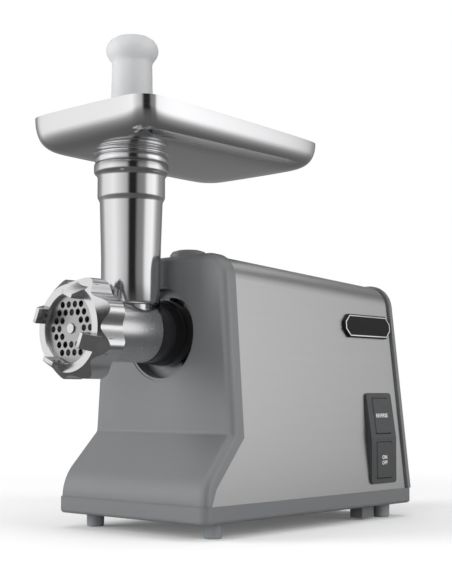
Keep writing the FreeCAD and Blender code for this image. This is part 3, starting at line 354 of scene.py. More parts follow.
class Look(Enum):
    """The finishes of the grinder's pieces, named for their slots, and the white of the letters."""

    COVER = Finish("cover_grey", (0.160, 0.165, 0.170), 0.40, metal=0.25, relief=0.01)
    FEET = Finish("foot_grey", (0.19, 0.20, 0.21), 0.55)
    WRAP = BrushedFinish("wrap_steel", (0.53, 0.53, 0.53), 0.35, metal=1.0, stretch=(2400.0, 30.0, 2400.0),
                         rough_spread=0.14, colour_spread=0.09, relief=0.012)
    TRAY = Finish("tray_steel", (0.78, 0.78, 0.79), 0.13, metal=1.0, rough_spread=0.02, colour_spread=0.0,
                  relief=0.0)
    HEAD = CastFinish("head_metal", (0.70, 0.70, 0.71), 0.13, metal=1.0, rough_spread=0.02,
                      colour_spread=0.0, relief=0.0)
    RING = Finish("ring_metal", (0.72, 0.72, 0.73), 0.23, metal=1.0, rough_spread=0.06, relief=0.004)
    PLATE = Finish("plate_steel", (0.50, 0.50, 0.50), 0.36, metal=1.0, rough_spread=0.10)
    BLACK = Finish("black_plastic", (0.010, 0.010, 0.011), 0.13, coat=0.5, relief=0.0)
    BUTTON = Finish("button_dark", (0.045, 0.046, 0.048), 0.46)
    BADGE = Finish("badge_dark", (0.009, 0.009, 0.010), 0.30, specular=0.12)
    PUSHER = Finish("pusher_grey", (0.44, 0.445, 0.45), 0.42, relief=0.0)
    INNER = Finish("inner_steel", (0.45, 0.45, 0.46), 0.35, metal=1.0)
    IRON = Finish("motor_iron", (0.08, 0.08, 0.085), 0.6, metal=0.6)
    COPPER = Finish("copper_wire", (0.55, 0.26, 0.12), 0.35, metal=1.0)
    GEAR = Finish("gear_plastic", (0.72, 0.70, 0.64), 0.5)
    CARBON = Finish("carbon", (0.03, 0.03, 0.03), 0.7)
    MARK = Finish("mark_white", (0.80, 0.80, 0.80), 0.6)


class Dresser:
    """Hands each piece the finish of its slot."""

    def __init__(self) -> None:
        """Build every finish once."""
        self.materials = {look.value.name: look.value.material() for look in Look}

    def dress(self, item: bpy.types.Object, slot: str, look: Optional[Look] = None) -> None:
        """Give a piece one finish.

        Args:
            item: the piece.
            slot: name of the record's slot, which names the finish too.
            look: another finish than the slot's own.
        """
        item.data.materials.clear()
        item.data.materials.append(self.materials[look.value.name if look else slot])

    def dress_nodes(self) -> None:
        """Dress every CAD node by the record's list of slots."""
        for part in frame["record"]["subparts"]:
            self.dress(frame["nodes"][part["node"]], part["material_slot"])
            LOG.info("dressed %s", part["node"])


class Way(Enum):
    """The axis that a turned piece runs along."""

    DEPTH = "Y"
    HEIGHT = "Z"

    def point(self, centre: Vector, along: float) -> Vector:
        """The axis's point at a distance along it.

        Args:
            centre: any point of the axis.
            along: the distance from the origin.

        Returns:
            The point.
        """
        if self is Way.DEPTH:
            return Vector((centre.x, along, centre.z))
        return Vector((centre.x, centre.y, along))

    def across(self, ratio: float) -> Triple:
        """A scale across the axis."""
        return (ratio, 1.0, ratio) if self is Way.DEPTH else (ratio, ratio, 1.0)


class Joinery(Enum):
    """What a second solid does to a piece."""

    ADD = "UNION"
    CUT = "DIFFERENCE"
    SHARE = "INTERSECT"


class Workshop:
    """Modelling moves, each made with Blender's own operators."""

    @staticmethod
    def clear() -> None:
        """Deselect everything."""
        bpy.ops.object.select_all(action="DESELECT")

    @staticmethod
    def take(item: bpy.types.Object) -> None:
        """Select one piece alone and make it active.

        Args:
            item: the piece.
        """
        Workshop.clear()
        item.select_set(True)
        bpy.context.view_layer.objects.active = item

    @staticmethod
    def settle() -> None:
        """Move the selected piece's place, turn and scale into its mesh."""
        bpy.ops.object.transform_apply(location=True, rotation=True, scale=True)

    @staticmethod
    def edit() -> None:
        """Open the active piece with all of it selected."""
        bpy.ops.object.mode_set(mode="EDIT")
        bpy.ops.mesh.select_mode(type="VERT")
        bpy.ops.mesh.select_all(action="SELECT")

    @staticmethod
    def close() -> None:
        """Merge doubles, turn the faces outwards and leave edit mode."""
        bpy.ops.mesh.select_all(action="SELECT")
        bpy.ops.mesh.remove_doubles(threshold=MERGE)
        bpy.ops.mesh.normals_make_consistent(inside=False)
        bpy.ops.object.mode_set(mode="OBJECT")

    @staticmethod
    def pick(item: bpy.types.Object, test: Test) -> None:
        """Select the vertices that pass a test.

        Args:
            item: the piece that is open for editing.
            test: tells of a vertex's place whether it is wanted.
        """
        mesh = bmesh.from_edit_mesh(item.data)
        for vertex in mesh.verts:
            vertex.select_set(test(vertex.co))
        mesh.select_flush_mode()
        bmesh.update_edit_mesh(item.data)

    @staticmethod
    def modify(item: bpy.types.Object, kind: str, **settings: object) -> None:
        """Add one modifier and apply it.

        Args:
            item: the piece.
            kind: the modifier's type.
            settings: its properties.
        """
        Workshop.take(item)
        modifier = item.modifiers.new(kind.lower(), kind)
        for name, value in settings.items():
            setattr(modifier, name, value)
        bpy.ops.object.modifier_apply(modifier=modifier.name)

    @staticmethod
    def combine(item: bpy.types.Object, tool: bpy.types.Object, joinery: Joinery) -> None:
        """Add a second solid to a piece, cut it away or keep what they share, and drop the second one.

        Args:
            item: the piece that stays.
            tool: the solid that is used up.
            joinery: what the solid does to the piece.
        """
        Workshop.modify(item, "BOOLEAN", object=tool, operation=joinery.value, solver="EXACT")
        bpy.data.objects.remove(tool)

    @staticmethod
    def join(item: bpy.types.Object, others: Sequence[bpy.types.Object]) -> None:
        """Make other pieces part of one, as shells of their own.

        Args:
            item: the piece that stays.
            others: the pieces that go into it.
        """
        Workshop.take(item)
        for other in others:
            other.select_set(True)
        bpy.ops.object.join()

    @staticmethod
    def turned(name: str, profile: Profile, centre: Vector, way: Way, sides: int = SIDES,
               solid: bool = True) -> bpy.types.Object:
        """Turn a profile, by drawing one ring out step by step.

        Args:
            name: the piece's name.
            profile: radius and distance along the axis of each ring, in millimetres.
            centre: a point of the axis, in metres.
            way: the axis's direction.
            sides: corners of a ring.
            solid: whether the two ends are closed by a face, or the profile ends where it began.

        Returns:
            The turned piece.
        """
        Workshop.clear()
        radius, along = profile[0]
        bpy.ops.mesh.primitive_circle_add(
            vertices=sides, radius=radius * MM, fill_type="NGON" if solid else "NOTHING",
            location=way.point(centre, along * MM),
            rotation=(math.pi / 2 if way is Way.DEPTH else 0.0, 0.0, 0.0))
        item = bpy.context.object
        item.name = name
        Workshop.settle()
        Workshop.edit()
        for next_radius, next_along in profile[1:]:
            bpy.ops.mesh.extrude_region_move()
            bpy.ops.transform.resize(value=way.across(next_radius / radius),
                                     center_override=way.point(centre, along * MM))
            bpy.ops.transform.translate(value=way.point(Vector(), (next_along - along) * MM))
            radius, along = next_radius, next_along
        Workshop.close()
        return item

    @staticmethod
    def block(name: str, reach: Point, span: Point, width: float) -> bpy.types.Object:
        """Make a block that stands at angle 0 of an axis along the depth.

        Args:
            name: the piece's name.
            reach: its nearest and farthest distance from the axis, in millimetres.
            span: its front and rear, in millimetres.
            width: its size round the axis, in millimetres.

        Returns:
            The block, modelled round the origin.
        """
        inner, outer = reach
        front, rear = span
        Workshop.clear()
        bpy.ops.mesh.primitive_cube_add(
            size=1.0, location=((inner + outer) / 2 * MM, (front + rear) / 2 * MM, 0.0))
        bpy.ops.transform.resize(value=((outer - inner) * MM, (rear - front) * MM, width * MM))
        Workshop.settle()
        item = bpy.context.object
        item.name = name
        return item

    @staticmethod
    def copies(item: bpy.types.Object, centre: Vector, angles: Sequence[float]) -> bpy.types.Object:
        """Set copies of a piece round an axis along the depth, and join them.

        Args:
            item: the piece, modelled round the origin at angle 0; it is used up.
            centre: a point of the axis, in metres.
            angles: turns from the right side upwards, in degrees.

        Returns:
            The joined copies.
        """
        made = []
        for angle in angles:
            Workshop.take(item)
            bpy.ops.object.duplicate(linked=False)
            copy = bpy.context.object
            copy.location = centre
            copy.rotation_euler = (0.0, -math.radians(angle), 0.0)
            Workshop.settle()
            made.append(copy)
        bpy.data.objects.remove(item)
        Workshop.join(made[0], made[1:])
        return made[0]

    @staticmethod
    def clean(item: bpy.types.Object) -> None:
        """Split the many-sided faces that cuts leave, and take out slivers.

        Args:
            item: the piece.
        """
        Workshop.take(item)
        Workshop.edit()
        bpy.ops.mesh.select_mode(type="FACE")
        bpy.ops.mesh.select_all(action="DESELECT")
        bpy.ops.mesh.select_face_by_sides(number=4, type="GREATER")
        bpy.ops.mesh.quads_convert_to_tris(quad_method="BEAUTY", ngon_method="BEAUTY")
        bpy.ops.mesh.select_mode(type="VERT")
        bpy.ops.mesh.select_all(action="SELECT")
        bpy.ops.mesh.dissolve_degenerate(threshold=MERGE)
        Workshop.close()

    @staticmethod
    def hand_over(item: bpy.types.Object, body: str, node: Optional[str] = None) -> None:
        """Clean and smooth a finished piece and put it on its body.

        Args:
            item: the piece.
            body: the body that it moves with.
            node: the CAD node that it stands for, if any.
        """
        Workshop.clean(item)
        Workshop.take(item)
        bpy.ops.object.shade_smooth_by_angle(angle=SMOOTH_ANGLE)
        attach(item, body)
        if node:
            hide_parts(node)


@dataclass
class FeedTray:
    """The bright pan that the meat lies in, with the neck that stands in the feed tube.

    The first three sizes say how the rim differs from the CAD node's. The section gives how far in from
    the rim each step lies and its share of the pan's depth. The fall is the rim's, from front to rear.
    """

    nearer: float = 4.0
    farther: float = 0.8
    narrower: float = 2.5
    corner: float = 21.0
    corner_steps: int = 3
    floor: float = 280.0
    fall: float = 6.0
    wall: float = 1.0
    smoothing: int = 3
    section: Profile = ((0.0, 1.0), (0.1, 0.84), (1.0, 0.59), (3.4, 0.32), (8.6, 0.125), (17.0, 0.028),
                        (31.0, 0.0))
    neck: Profile = ((23.6, 264.8), (24.9, 264.8), (24.9, 271.1), (25.9, 271.1), (26.8, 271.7),
                     (27.2, 273.0), (27.2, 275.4), (26.8, 276.7), (26.0, 277.3), (25.7, 278.2),
                     (25.9, 279.2), (26.6, 280.0), (28.2, 280.4), (28.2, 280.9), (23.6, 280.9),
                     (23.6, 264.8))
    hole: Profile = ((23.7, 279.0), (23.7, 284.0))

    def build(self, dresser: Dresser) -> list[bpy.types.Object]:
        """Model the tray and dress it.

        Args:
            dresser: hands out the finishes.

        Returns:
            The tray.
        """
        tray = self._pan()
        neck = Workshop.turned("tray_neck", self.neck, TUBE_AXIS, Way.HEIGHT, solid=False)
        Workshop.combine(tray, neck, Joinery.ADD)
        hole = Workshop.turned("tray_hole", self.hole, TUBE_AXIS, Way.HEIGHT)
        Workshop.combine(tray, hole, Joinery.CUT)
        Workshop.hand_over(tray, "tray", "feed_tray")
        dresser.dress(tray, "tray_steel")
        return [tray]

    def _pan(self) -> bpy.types.Object:
        """Draw the rim down and in to the floor, smooth it and give it a wall.

        Returns:
            The pan without its neck.
        """
        low, high = (Vector(corner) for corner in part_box("feed_tray"))
        low.y -= self.nearer * MM
        high.y += self.farther * MM
        half_wide = (high.x - low.x) / 2 - self.narrower * MM
        half_long = (high.y - low.y) / 2
        middle = (high.y + low.y) / 2
        depth = high.z - self.floor * MM
        tilt = math.atan2(self.fall * MM, 2 * half_long)
        Workshop.clear()
        bpy.ops.mesh.primitive_plane_add(size=2.0, location=(0.0, middle, high.z))
        pan = bpy.context.object
        pan.name = "meat_tray"
        bpy.ops.transform.resize(value=(half_wide, half_long, 1.0))
        Workshop.settle()
        Workshop.edit()
        bpy.ops.mesh.bevel(offset=self.corner * MM, segments=self.corner_steps, affect="VERTICES")
        bpy.ops.mesh.delete(type="ONLY_FACE")
        bpy.ops.mesh.select_all(action="SELECT")
        bpy.ops.transform.rotate(value=tilt, orient_axis="X", center_override=(0.0, low.y, high.z))
        for (inset, share), (next_inset, next_share) in zip(self.section, self.section[1:]):
            bpy.ops.mesh.extrude_region_move()
            bpy.ops.transform.resize(value=((half_wide - next_inset * MM) / (half_wide - inset * MM),
                                            (half_long - next_inset * MM) / (half_long - inset * MM), 1.0),
                                     center_override=(0.0, middle, 0.0))
            bpy.ops.transform.translate(value=(0.0, 0.0, (next_share - share) * depth))
            bpy.ops.transform.rotate(value=tilt * (next_share - share), orient_axis="X",
                                     center_override=(0.0, low.y, self.floor * MM + next_share * depth))
        bpy.ops.mesh.edge_face_add()
        Workshop.close()
        Workshop.modify(pan, "SUBSURF", levels=self.smoothing, render_levels=self.smoothing)
        Workshop.modify(pan, "SOLIDIFY", thickness=self.wall * MM, offset=-1.0)
        return pan


@dataclass
class Pusher:
    """The moulded stick that pushes the meat down, hollow from below.

    The knob gives each ring's radius and its drop below the top.
    """

    low: float = 178.0
    low_radius: float = 18.5
    low_edge: float = 0.8
    neck_radius: float = 15.0
    neck_drop: float = 21.4
    wall: float = 2.2
    hollow_drop: float = 4.0
    stop_low: float = 281.0
    stop_tall: float = 2.5
    stop_radius: float = 27.0
    stop_edge: float = 0.5
    knob: Profile = ((2.0, 0.0), (8.0, 0.35), (12.7, 1.4), (16.4, 3.7), (18.6, 6.8), (19.45, 9.2),
                     (19.65, 10.8), (19.5, 12.4), (18.8, 14.6), (17.3, 17.2), (15.7, 19.2))

    def build(self, dresser: Dresser) -> list[bpy.types.Object]:
        """Model the pusher and dress it.

        Args:
            dresser: hands out the finishes.

        Returns:
            The pusher.
        """
        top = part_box("pusher")[1][2] / MM
        neck = top - self.neck_drop
        stop_top = self.stop_low + self.stop_tall
        edge = self.stop_edge
        rings = [(radius, top - drop) for radius, drop in self.knob]
        rings += [(self.neck_radius, neck), (self._stem(stop_top, neck), stop_top)]
        rings += [(self.stop_radius - edge, stop_top), (self.stop_radius, stop_top - edge),
                  (self.stop_radius, self.stop_low + edge), (self.stop_radius - edge, self.stop_low)]
        rings += [(self._stem(self.stop_low, neck), self.stop_low),
                  (self.low_radius, self.low + self.low_edge), (self.low_radius - self.low_edge, self.low)]
        rings += [(self.low_radius - self.wall, self.low),
                  (self.neck_radius - self.wall, neck - self.hollow_drop)]
        pusher = Workshop.turned("food_pusher", rings, TUBE_AXIS, Way.HEIGHT)
        Workshop.hand_over(pusher, "pusher", "pusher")
        dresser.dress(pusher, "pusher_grey")
        return [pusher]

    def _stem(self, height: float, neck: float) -> float:
        """The stem's radius at a height."""
        share = (height - self.low) / (neck - self.low)
        return self.low_radius + (self.neck_radius - self.low_radius) * share


@dataclass
class HeadCasting:
    """The polished head: a barrel for the auger and an upright feed tube."""

    mouth_radius: float = 30.0
    mouth_front: float = -145.8
    mouth_edge: float = 0.5
    thread_front: float = -144.8
    thread_pitch: float = 2.2
    thread_turns: int = 5
    thread_deep: float = 0.8
    barrel: Profile = ((30.0, -133.6), (22.6, -131.4), (22.6, -80.0), (21.6, -80.0), (21.6, -36.0))
    tube: Profile = ((17.0, 150.0), (17.0, 166.4), (20.4, 166.8), (21.4, 167.6), (21.8, 169.0),
                     (21.95, 201.0), (23.25, 242.0), (23.5, 243.2), (24.4, 244.8), (24.95, 245.9),
                     (25.05, 246.8), (25.05, 260.3), (25.25, 261.6), (26.2, 263.0), (27.3, 263.9),
                     (27.75, 264.8), (27.8, 265.6), (27.8, 270.0), (27.5, 270.7), (26.9, 271.0))
    bore: Profile = ((27.3, -146.8), (27.3, -143.4), (24.5, -143.4), (24.5, -136.0), (19.6, -136.0),
                     (19.6, -66.0), (14.0, -66.0), (14.0, -58.0), (18.0, -58.0), (18.0, -35.0))
    throat: Profile = ((14.6, 147.1), (14.8, 165.0), (15.8, 170.0), (18.9, 177.0), (19.6, 184.0),
                       (20.2, 242.0), (22.2, 256.5), (23.2, 264.5), (25.2, 264.5), (25.2, 272.0))
    lug_reach: Point = (20.5, 27.0)
    lug_span: Point = (-44.7, -38.3)
    lug_width: float = 13.0
    lug_edge: float = 0.6
    lug_angles: Triple = (0.0, 120.0, 240.0)

    def build(self, dresser: Dresser) -> list[bpy.types.Object]:
        """Model the head and dress it.

        Args:
            dresser: hands out the finishes.

        Returns:
            The head.
        """
        head = Workshop.turned("grinder_head", self._mouth() + list(self.barrel), BARREL_AXIS, Way.DEPTH)
        tube = Workshop.turned("head_tube", self.tube, TUBE_AXIS, Way.HEIGHT)
        Workshop.combine(head, tube, Joinery.ADD)
        Workshop.combine(head, self._lugs(), Joinery.ADD)
        bore = Workshop.turned("head_bore", self.bore, BARREL_AXIS, Way.DEPTH)
        Workshop.combine(head, bore, Joinery.CUT)
        throat = Workshop.turned("head_throat", self.throat, TUBE_AXIS, Way.HEIGHT)
        Workshop.combine(head, throat, Joinery.CUT)
        Workshop.hand_over(head, "head", "head_casting")
        dresser.dress(head, "head_metal")
        return [head]

    def _mouth(self) -> list[Point]:
        """Draw the mouth's front edge and the thread that the screw ring runs on.

        Returns:
            Radius and depth of each ring.
        """
        root = self.mouth_radius - self.thread_deep
        rings = [(self.mouth_radius - self.mouth_edge, self.mouth_front),
                 (self.mouth_radius, self.mouth_front + self.mouth_edge)]
        for turn in range(self.thread_turns):
            start = self.thread_front + turn * self.thread_pitch
            rings += [(self.mouth_radius, start), (root, start + self.thread_pitch / 2)]
        return rings

    def _lugs(self) -> bpy.types.Object:
        """Make the three lugs that lock the head in its socket.

        Returns:
            The joined lugs.
        """
        lug = Workshop.block("head_lug", self.lug_reach, self.lug_span, self.lug_width)
        Workshop.modify(lug, "BEVEL", width=self.lug_edge * MM, segments=FINE_STEPS)
        return Workshop.copies(lug, BARREL_AXIS, self.lug_angles)


@dataclass
class ScrewRing:
    """The ring that holds the plate, with eight rounded lobes and four claws to grip.

    A claw is cut across at its tip and at its two steps. Beyond the tip its front falls back to claw_low
    and its width grows, and up to the first step its back ends at claw_back.
    """

    lobes: int = 8
    steps: int = 16
    first_lobe: float = 22.5
    lobe_height: float = 5.3
    valley: float = 32.4
    span: Point = (-151.9, -130.0)
    crown: Profile = ((31.0, -152.9), (31.0, -151.9), (31.6, -151.2), (38.2, -143.2), (38.2, -131.6),
                      (36.8, -130.2), (36.8, -129.0))
    bore: Profile = ((25.1, -152.9), (25.1, -151.9), (24.5, -151.3), (24.5, -148.5), (30.3, -148.5),
                     (30.3, -129.0))
    claw_reach: Point = (23.4, 35.4)
    claw_span: Point = (-161.5, -141.0)
    claw_tip: float = 26.6
    claw_step: Point = (30.9, 31.4)
    claw_back: float = -149.8
    claw_low: float = -144.0
    claw_widths: Point = (11.0, 12.6)
    claw_edge: float = 1.5
    claw_edge_steps: int = 4
    claw_angles: tuple[float, ...] = (67.5, 157.5, 247.5, 337.5)

    def build(self, dresser: Dresser) -> list[bpy.types.Object]:
        """Model the ring and dress it.

        Args:
            dresser: hands out the finishes.

        Returns:
            The ring.
        """
        prism = [(self.valley, along) for along in self.span]
        ring = Workshop.turned("lobed_ring", prism, BARREL_AXIS, Way.DEPTH, sides=self.lobes * self.steps)
        self._raise_lobes(ring)
        crown = Workshop.turned("ring_crown", self.crown, BARREL_AXIS, Way.DEPTH)
        Workshop.combine(ring, crown, Joinery.SHARE)
        bore = Workshop.turned("ring_bore", self.bore, BARREL_AXIS, Way.DEPTH)
        Workshop.combine(ring, bore, Joinery.CUT)
        Workshop.join(ring, [Workshop.copies(self._claw(), BARREL_AXIS, self.claw_angles)])
        Workshop.hand_over(ring, "ring", "screw_ring")
        dresser.dress(ring, "ring_metal")
        return [ring]

    def _phase(self, place: Vector) -> int:
        """Count the columns from a place to the nearest lobe's crest.

        Args:
            place: a place on the ring, in metres.

        Returns:
            The number of columns.
        """
        angle = math.degrees(math.atan2(place.z - BARREL_AXIS.z, place.x)) - self.first_lobe
        column = round(angle / FULL_TURN * self.lobes * self.steps) % self.steps
        return min(column, self.steps - column)

    def _raise_lobes(self, ring: bpy.types.Object) -> None:
        """Draw the outside of the ring out into lobes, column by column.

        Args:
            ring: the plain turned ring.
        """
        Workshop.take(ring)
        Workshop.edit()
        for phase in range(self.steps // 2):
            rise = self.lobe_height * (1.0 + math.cos(math.tau * phase / self.steps)) / 2
            Workshop.pick(ring, lambda place: self._phase(place) == phase)
            bpy.ops.transform.resize(value=Way.DEPTH.across(1.0 + rise / self.valley),
                                     center_override=BARREL_AXIS)
        Workshop.close()

    def _claw(self) -> bpy.types.Object:
        """Make one claw at angle 0, a block drawn into a ramp that widens outwards.

        Returns:
            The claw, modelled round the origin.
        """
        narrow, wide = self.claw_widths
        outer = self.claw_reach[1] * MM
        front, rear = (place * MM for place in self.claw_span)
        tip = self.claw_tip * MM
        steps = [step * MM for step in self.claw_step]
        claw = Workshop.block("ring_claw", self.claw_reach, self.claw_span, narrow)
        Workshop.edit()
        for cut in (tip, *steps):
            bpy.ops.mesh.select_all(action="SELECT")
            bpy.ops.mesh.bisect(plane_co=(cut, 0.0, 0.0), plane_no=(1.0, 0.0, 0.0))
        for cut in (*steps, outer):
            share = (cut - tip) / (outer - tip)
            Workshop.pick(claw, lambda place: abs(place.x - cut) < TOUCH and place.y < front + TOUCH)
            bpy.ops.transform.translate(value=(0.0, (self.claw_low * MM - front) * share, 0.0))
            Workshop.pick(claw, lambda place: abs(place.x - cut) < TOUCH)
            bpy.ops.transform.resize(value=(1.0, 1.0, 1.0 + (wide / narrow - 1.0) * share ** 2),
                                     center_override=(cut, 0.0, 0.0))
        Workshop.pick(claw, lambda place: place.x < steps[0] + TOUCH and place.y > rear - TOUCH)
        bpy.ops.transform.translate(value=(0.0, self.claw_back * MM - rear, 0.0))
        Workshop.close()
        Workshop.modify(claw, "BEVEL", width=self.claw_edge * MM, segments=self.claw_edge_steps)
        return claw


@dataclass
class Markings:
    """Plain words on the two buttons, and a bright frame round the bare badge plate.

    A node's outer face is made of faces that look to the right by more than the facing and lie within
    the flatness, in degrees, of the largest one.
    """

    letter: float = 4.4
    letter_steps: int = 4
    raised: float = 0.08
    facing: float = 0.9
    flatness: float = 1.0
    frame_inset: float = 0.9
    frame_width: float = 1.1
    frame_tall: float = 0.5
    frame_cut: float = 5.6
    frame_edge: float = 0.12

    def build(self, dresser: Dresser) -> list[bpy.types.Object]:
        """Model the words and the frame and dress them.

        Args:
            dresser: hands out the finishes.

        Returns:
            The words of each button and the frame.
        """
        return [self._words(dresser, "reverse_button", "reverse", "REVERSE"),
                self._words(dresser, "on_off_button", "on_off", "ON\nOFF"),
                self._badge_frame(dresser)]

    def _face(self, node: str) -> Matrix:
        """Find a node's outer face on the right side.

        Args:
            node: the CAD node.

        Returns:
            The face's place, with X to the rear, Y up the face and Z out of it.
        """
        mesh = frame["nodes"][node].data
        outward = [face for face in mesh.polygons if face.normal.x > self.facing]
        normal = max(outward, key=lambda face: face.area).normal.copy()
        flat = [face for face in outward if face.normal.angle(normal) < math.radians(self.flatness)]
        corners = [mesh.vertices[index].co for face in flat for index in face.vertices]
        middle = [(min(part) + max(part)) / 2 for part in zip(*corners)]
        rearward = Vector((0.0, 1.0, 0.0))
        rearward = (rearward - normal * rearward.dot(normal)).normalized()
        turn = Matrix((rearward, normal.cross(rearward), normal)).transposed().to_4x4()
        return Matrix.Translation(middle) @ turn

    def _words(self, dresser: Dresser, node: str, body: str, words: str) -> bpy.types.Object:
        """Print words on a button.

        Args:
            dresser: hands out the finishes.
            node: the button's CAD node.
            body: the button's body.
            words: what is printed.

        Returns:
            The words.
        """
        Workshop.clear()
        bpy.ops.object.text_add()
        text = bpy.context.object
        text.name = body + "_mark"
        text.data.body = words
        text.data.size = self.letter * MM
        text.data.align_x = "CENTER"
        text.data.align_y = "CENTER"
        text.data.extrude = self.raised * MM
        text.data.resolution_u = self.letter_steps
        bpy.ops.object.convert(target="MESH")
        mark = bpy.context.object
        mark.matrix_world = self._face(node)
        Workshop.settle()
        Workshop.hand_over(mark, body)
        dresser.dress(mark, "gear_plastic", Look.MARK)
        return mark

    def _badge_frame(self, dresser: Dresser) -> bpy.types.Object:
        """Frame the badge plate with a thin bright line.

        Args:
            dresser: hands out the finishes.

        Returns:
            The frame.
        """
        low, high = (Vector(corner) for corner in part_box("badge_plate"))
        margin = 2 * self.frame_inset * MM
        Workshop.clear()
        bpy.ops.mesh.primitive_plane_add(size=1.0)
        rim = bpy.context.object
        rim.name = "badge_frame"
        bpy.ops.transform.resize(value=(high.y - low.y - margin, high.z - low.z - margin, 1.0))
        Workshop.settle()
        Workshop.edit()
        bpy.ops.mesh.bevel(offset=self.frame_cut * MM, segments=1, affect="VERTICES")
        bpy.ops.mesh.select_all(action="SELECT")
        bpy.ops.mesh.inset(thickness=self.frame_width * MM, depth=0.0)
        bpy.ops.mesh.delete(type="FACE")
        Workshop.close()
        Workshop.modify(rim, "SOLIDIFY", thickness=self.frame_tall * MM, offset=0.0)
        Workshop.modify(rim, "BEVEL", width=self.frame_edge * MM, segments=FINE_STEPS)
        rim.matrix_world = self._face("badge_plate")
        Workshop.take(rim)
        Workshop.settle()
        Workshop.hand_over(rim, "housing")
        dresser.dress(rim, "tray_steel")
        return rim


@dataclass
class Tent:
    """Bright and dark panels all round and a grey ground, seen only in reflections.

    Sizes are in metres. The panels give the brightness by the angle from the tent's zero, in degrees.
    """

    radius: float = 2.6
    height: float = 2.2
    inner: float = 0.03
    lift: float = 0.0015
    zero: float = 226.0
    panels: Profile = ((-180.0, 0.25), (-150.0, 0.22), (-122.0, 0.40), (-105.0, 0.95), (-60.0, 1.15),
                       (-38.0, 0.85), (-14.0, 0.55), (-5.0, 0.02), (15.0, 0.02), (24.0, 0.26), (45.0, 0.32),
                       (58.0, 1.1), (86.0, 1.3), (93.0, 1.08), (100.0, 0.76), (112.0, 0.42), (150.0, 0.22),
                       (180.0, 0.25))
    ground: Colour = (0.34, 0.34, 0.34)
    ground_span: Point = (0.25, 1.3)
    near_span: Point = (0.15, 2.3)
    near_levels: Point = (0.3, 1.0)
    high_span: Point = (0.9, 1.8)
    high_levels: Point = (1.0, 0.3)

    def build(self) -> None:
        """Set the tent up round the grinder."""
        tent = self._shell()
        tent.data.materials.append(self._light())
        tent.visible_camera = False
        tent.visible_diffuse = False
        tent.visible_shadow = False

    def _shell(self) -> bpy.types.Object:
        """Model a round wall, and a ground drawn in from its foot.

        Returns:
            The tent.
        """
        Workshop.clear()
        bpy.ops.mesh.primitive_cylinder_add(vertices=SIDES, radius=self.radius, depth=self.height,
                                            end_fill_type="NOTHING", location=(0.0, 0.0, self.height / 2))
        tent = bpy.context.object
        tent.name = "tent"
        Workshop.settle()
        Workshop.edit()
        Workshop.pick(tent, lambda place: place.z < TOUCH)
        bpy.ops.mesh.extrude_region_move()
        ratio = self.inner / self.radius
        bpy.ops.transform.resize(value=Way.HEIGHT.across(ratio))
        bpy.ops.transform.translate(value=(0.0, 0.0, self.lift))
        bpy.ops.object.mode_set(mode="OBJECT")
        return tent

    def _light(self) -> bpy.types.Material:
        """Make the panels and the ground glow, less near the grinder and high up.

        Returns:
            The material.
        """
        made = bpy.data.materials.new("tent_panels")
        bench = Bench(made)
        side = bench.node("ShaderNodeSeparateXYZ", {}, {0: bench.place()}, "X")
        deep = side.other("Y")
        turn = bench.node("ShaderNodeMath", {"operation": "ARCTAN2"}, {0: deep, 1: side})
        part = bench.node("ShaderNodeMath", {"operation": "FRACT"},
                          {0: turn * (1.0 / math.tau) + (1.0 + self.zero / FULL_TURN)})
        stops = [(angle / FULL_TURN + 0.5, (level, level, level)) for angle, level in self.panels]
        panel = bench.node("ShaderNodeValToRGB", {"stops": stops}, {"Fac": part})
        out = bench.length(bench.node("ShaderNodeCombineXYZ", {}, {0: side, 1: deep}))
        tone = bench.mix(bench.fade(out, self.ground_span), (*self.ground, 1.0), panel)
        strength = (bench.fade(out, self.near_span, self.near_levels)
                    * bench.fade(side.other("Z"), self.high_span, self.high_levels))
        lit = bench.node("ShaderNodeVectorMath", {"operation": "SCALE"}, {0: tone, "Scale": strength})
        glow = bench.node("ShaderNodeEmission", {}, {"Color": lit, "Strength": 1.0})
        bench.node("ShaderNodeOutputMaterial", {}, {"Surface": glow})
        return made


@dataclass(frozen=True)
class Lamp:
    """One soft box, with its place, its width and height in metres, and its power in watts."""

    name: str
    place: Triple
    size: Point
    watts: float

    def build(self, aim: Vector) -> None:
        """Set the soft box up; it lights the grinder and isn't mirrored in it.

        Args:
            aim: the point that it faces.
        """
        data = bpy.data.lights.new(self.name, "AREA")
        data.shape = "RECTANGLE"
        data.size, data.size_y = self.size
        data.energy = self.watts
        lamp = bpy.data.objects.new(self.name, data)
        bpy.context.scene.collection.objects.link(lamp)
        lamp.visible_glossy = False
        lamp.location = self.place
        lamp.rotation_euler = (aim - Vector(self.place)).to_track_quat("-Z", "Y").to_euler()


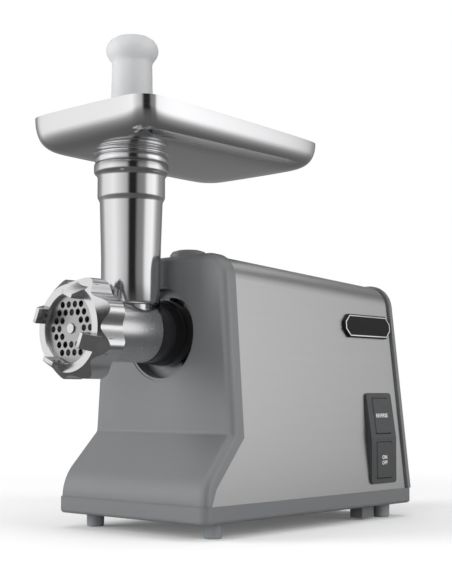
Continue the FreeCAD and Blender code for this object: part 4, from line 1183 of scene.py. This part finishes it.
@dataclass
class Studio:
    """Floor, reflection tent, soft boxes, world and camera.

    Sizes are in metres, the lens and the sensor in millimetres and the camera's angles in degrees.
    """

    fill: float = 0.40
    floor_size: float = 8.0
    floor_colour: Colour = (0.88, 0.88, 0.88)
    fade_span: Point = (0.25, 0.75)
    fade_levels: Point = (0.1, 1.0)
    aim: Triple = (0.0, 0.0, 0.17)
    lamps: tuple[Lamp, ...] = (Lamp("key_left", (-1.15, -1.4, 0.62), (0.9, 1.1), 34.0),
                               Lamp("side_right", (1.75, 0.55, 0.8), (0.8, 1.5), 22.0),
                               Lamp("front_fill", (0.55, -1.5, 0.40), (0.6, 0.6), 8.0),
                               Lamp("top_soft", (0.1, 0.1, 1.9), (1.6, 1.6), 12.0))
    lens: float = 73.25
    sensor: float = 36.0
    clip: Point = (0.01, 50.0)
    camera_place: Triple = (0.63586, -0.69424, 0.09907)
    camera_pitch: float = 5.06
    camera_azimuth: float = 41.94

    def build(self) -> None:
        """Set up everything that isn't part of the grinder."""
        self._world()
        self._floor()
        Tent().build()
        for lamp in self.lamps:
            lamp.build(Vector(self.aim))
        self._camera()

    def _world(self) -> None:
        """White to the camera and in reflections, softer as light."""
        world = bpy.data.worlds.new("studio")
        bpy.context.scene.world = world
        bench = Bench(world)
        path = bench.node("ShaderNodeLightPath", output="Is Camera Ray")
        seen = path + path.other("Is Glossy Ray") + path.other("Is Transmission Ray")
        strength = seen * (1.0 - self.fill) + self.fill
        light = bench.node("ShaderNodeBackground", {}, {"Color": WHITE, "Strength": strength})
        bench.node("ShaderNodeOutputWorld", {}, {"Surface": light})

    def _floor(self) -> None:
        """A white floor that keeps the shadow near the grinder and fades into the white behind it."""
        Workshop.clear()
        bpy.ops.mesh.primitive_plane_add(size=self.floor_size)
        floor = bpy.context.object
        floor.name = "floor"
        made = bpy.data.materials.new("floor_white")
        bench = Bench(made)
        far = bench.fade(bench.length(bench.place()), self.fade_span, self.fade_levels, Fade.SOFT)
        seen = bench.node("ShaderNodeLightPath", output="Is Camera Ray")
        paper = bench.node("ShaderNodeBsdfDiffuse", {}, {"Color": (*self.floor_colour, 1.0)})
        glow = bench.node("ShaderNodeEmission", {}, {"Color": WHITE, "Strength": 1.0})
        mixed = bench.node("ShaderNodeMixShader", {}, {0: seen * far, 1: paper, 2: glow})
        bench.node("ShaderNodeOutputMaterial", {}, {"Surface": mixed})
        floor.data.materials.append(made)

    def _camera(self) -> None:
        """The camera at the photograph's place."""
        data = bpy.data.cameras.new("camera")
        data.lens = self.lens
        data.sensor_width = self.sensor
        data.clip_start, data.clip_end = self.clip
        camera = bpy.data.objects.new("camera", data)
        bpy.context.scene.collection.objects.link(camera)
        camera.location = self.camera_place
        camera.rotation_euler = (math.pi / 2 + math.radians(self.camera_pitch), 0.0,
                                 math.radians(self.camera_azimuth))
        bpy.context.scene.camera = camera


def main() -> None:
    """Build the looks in order and report each piece."""
    logging.basicConfig(level=logging.INFO, format="%(message)s")
    bpy.context.scene.view_settings.view_transform = "Standard"
    dresser = Dresser()
    dresser.dress_nodes()
    for assembly in (FeedTray(), Pusher(), HeadCasting(), ScrewRing(), Markings()):
        for piece in assembly.build(dresser):
            LOG.info("modelled %s with %d faces", piece.name, len(piece.data.polygons))
    Studio().build()


if __name__ == "__main__":
    main()
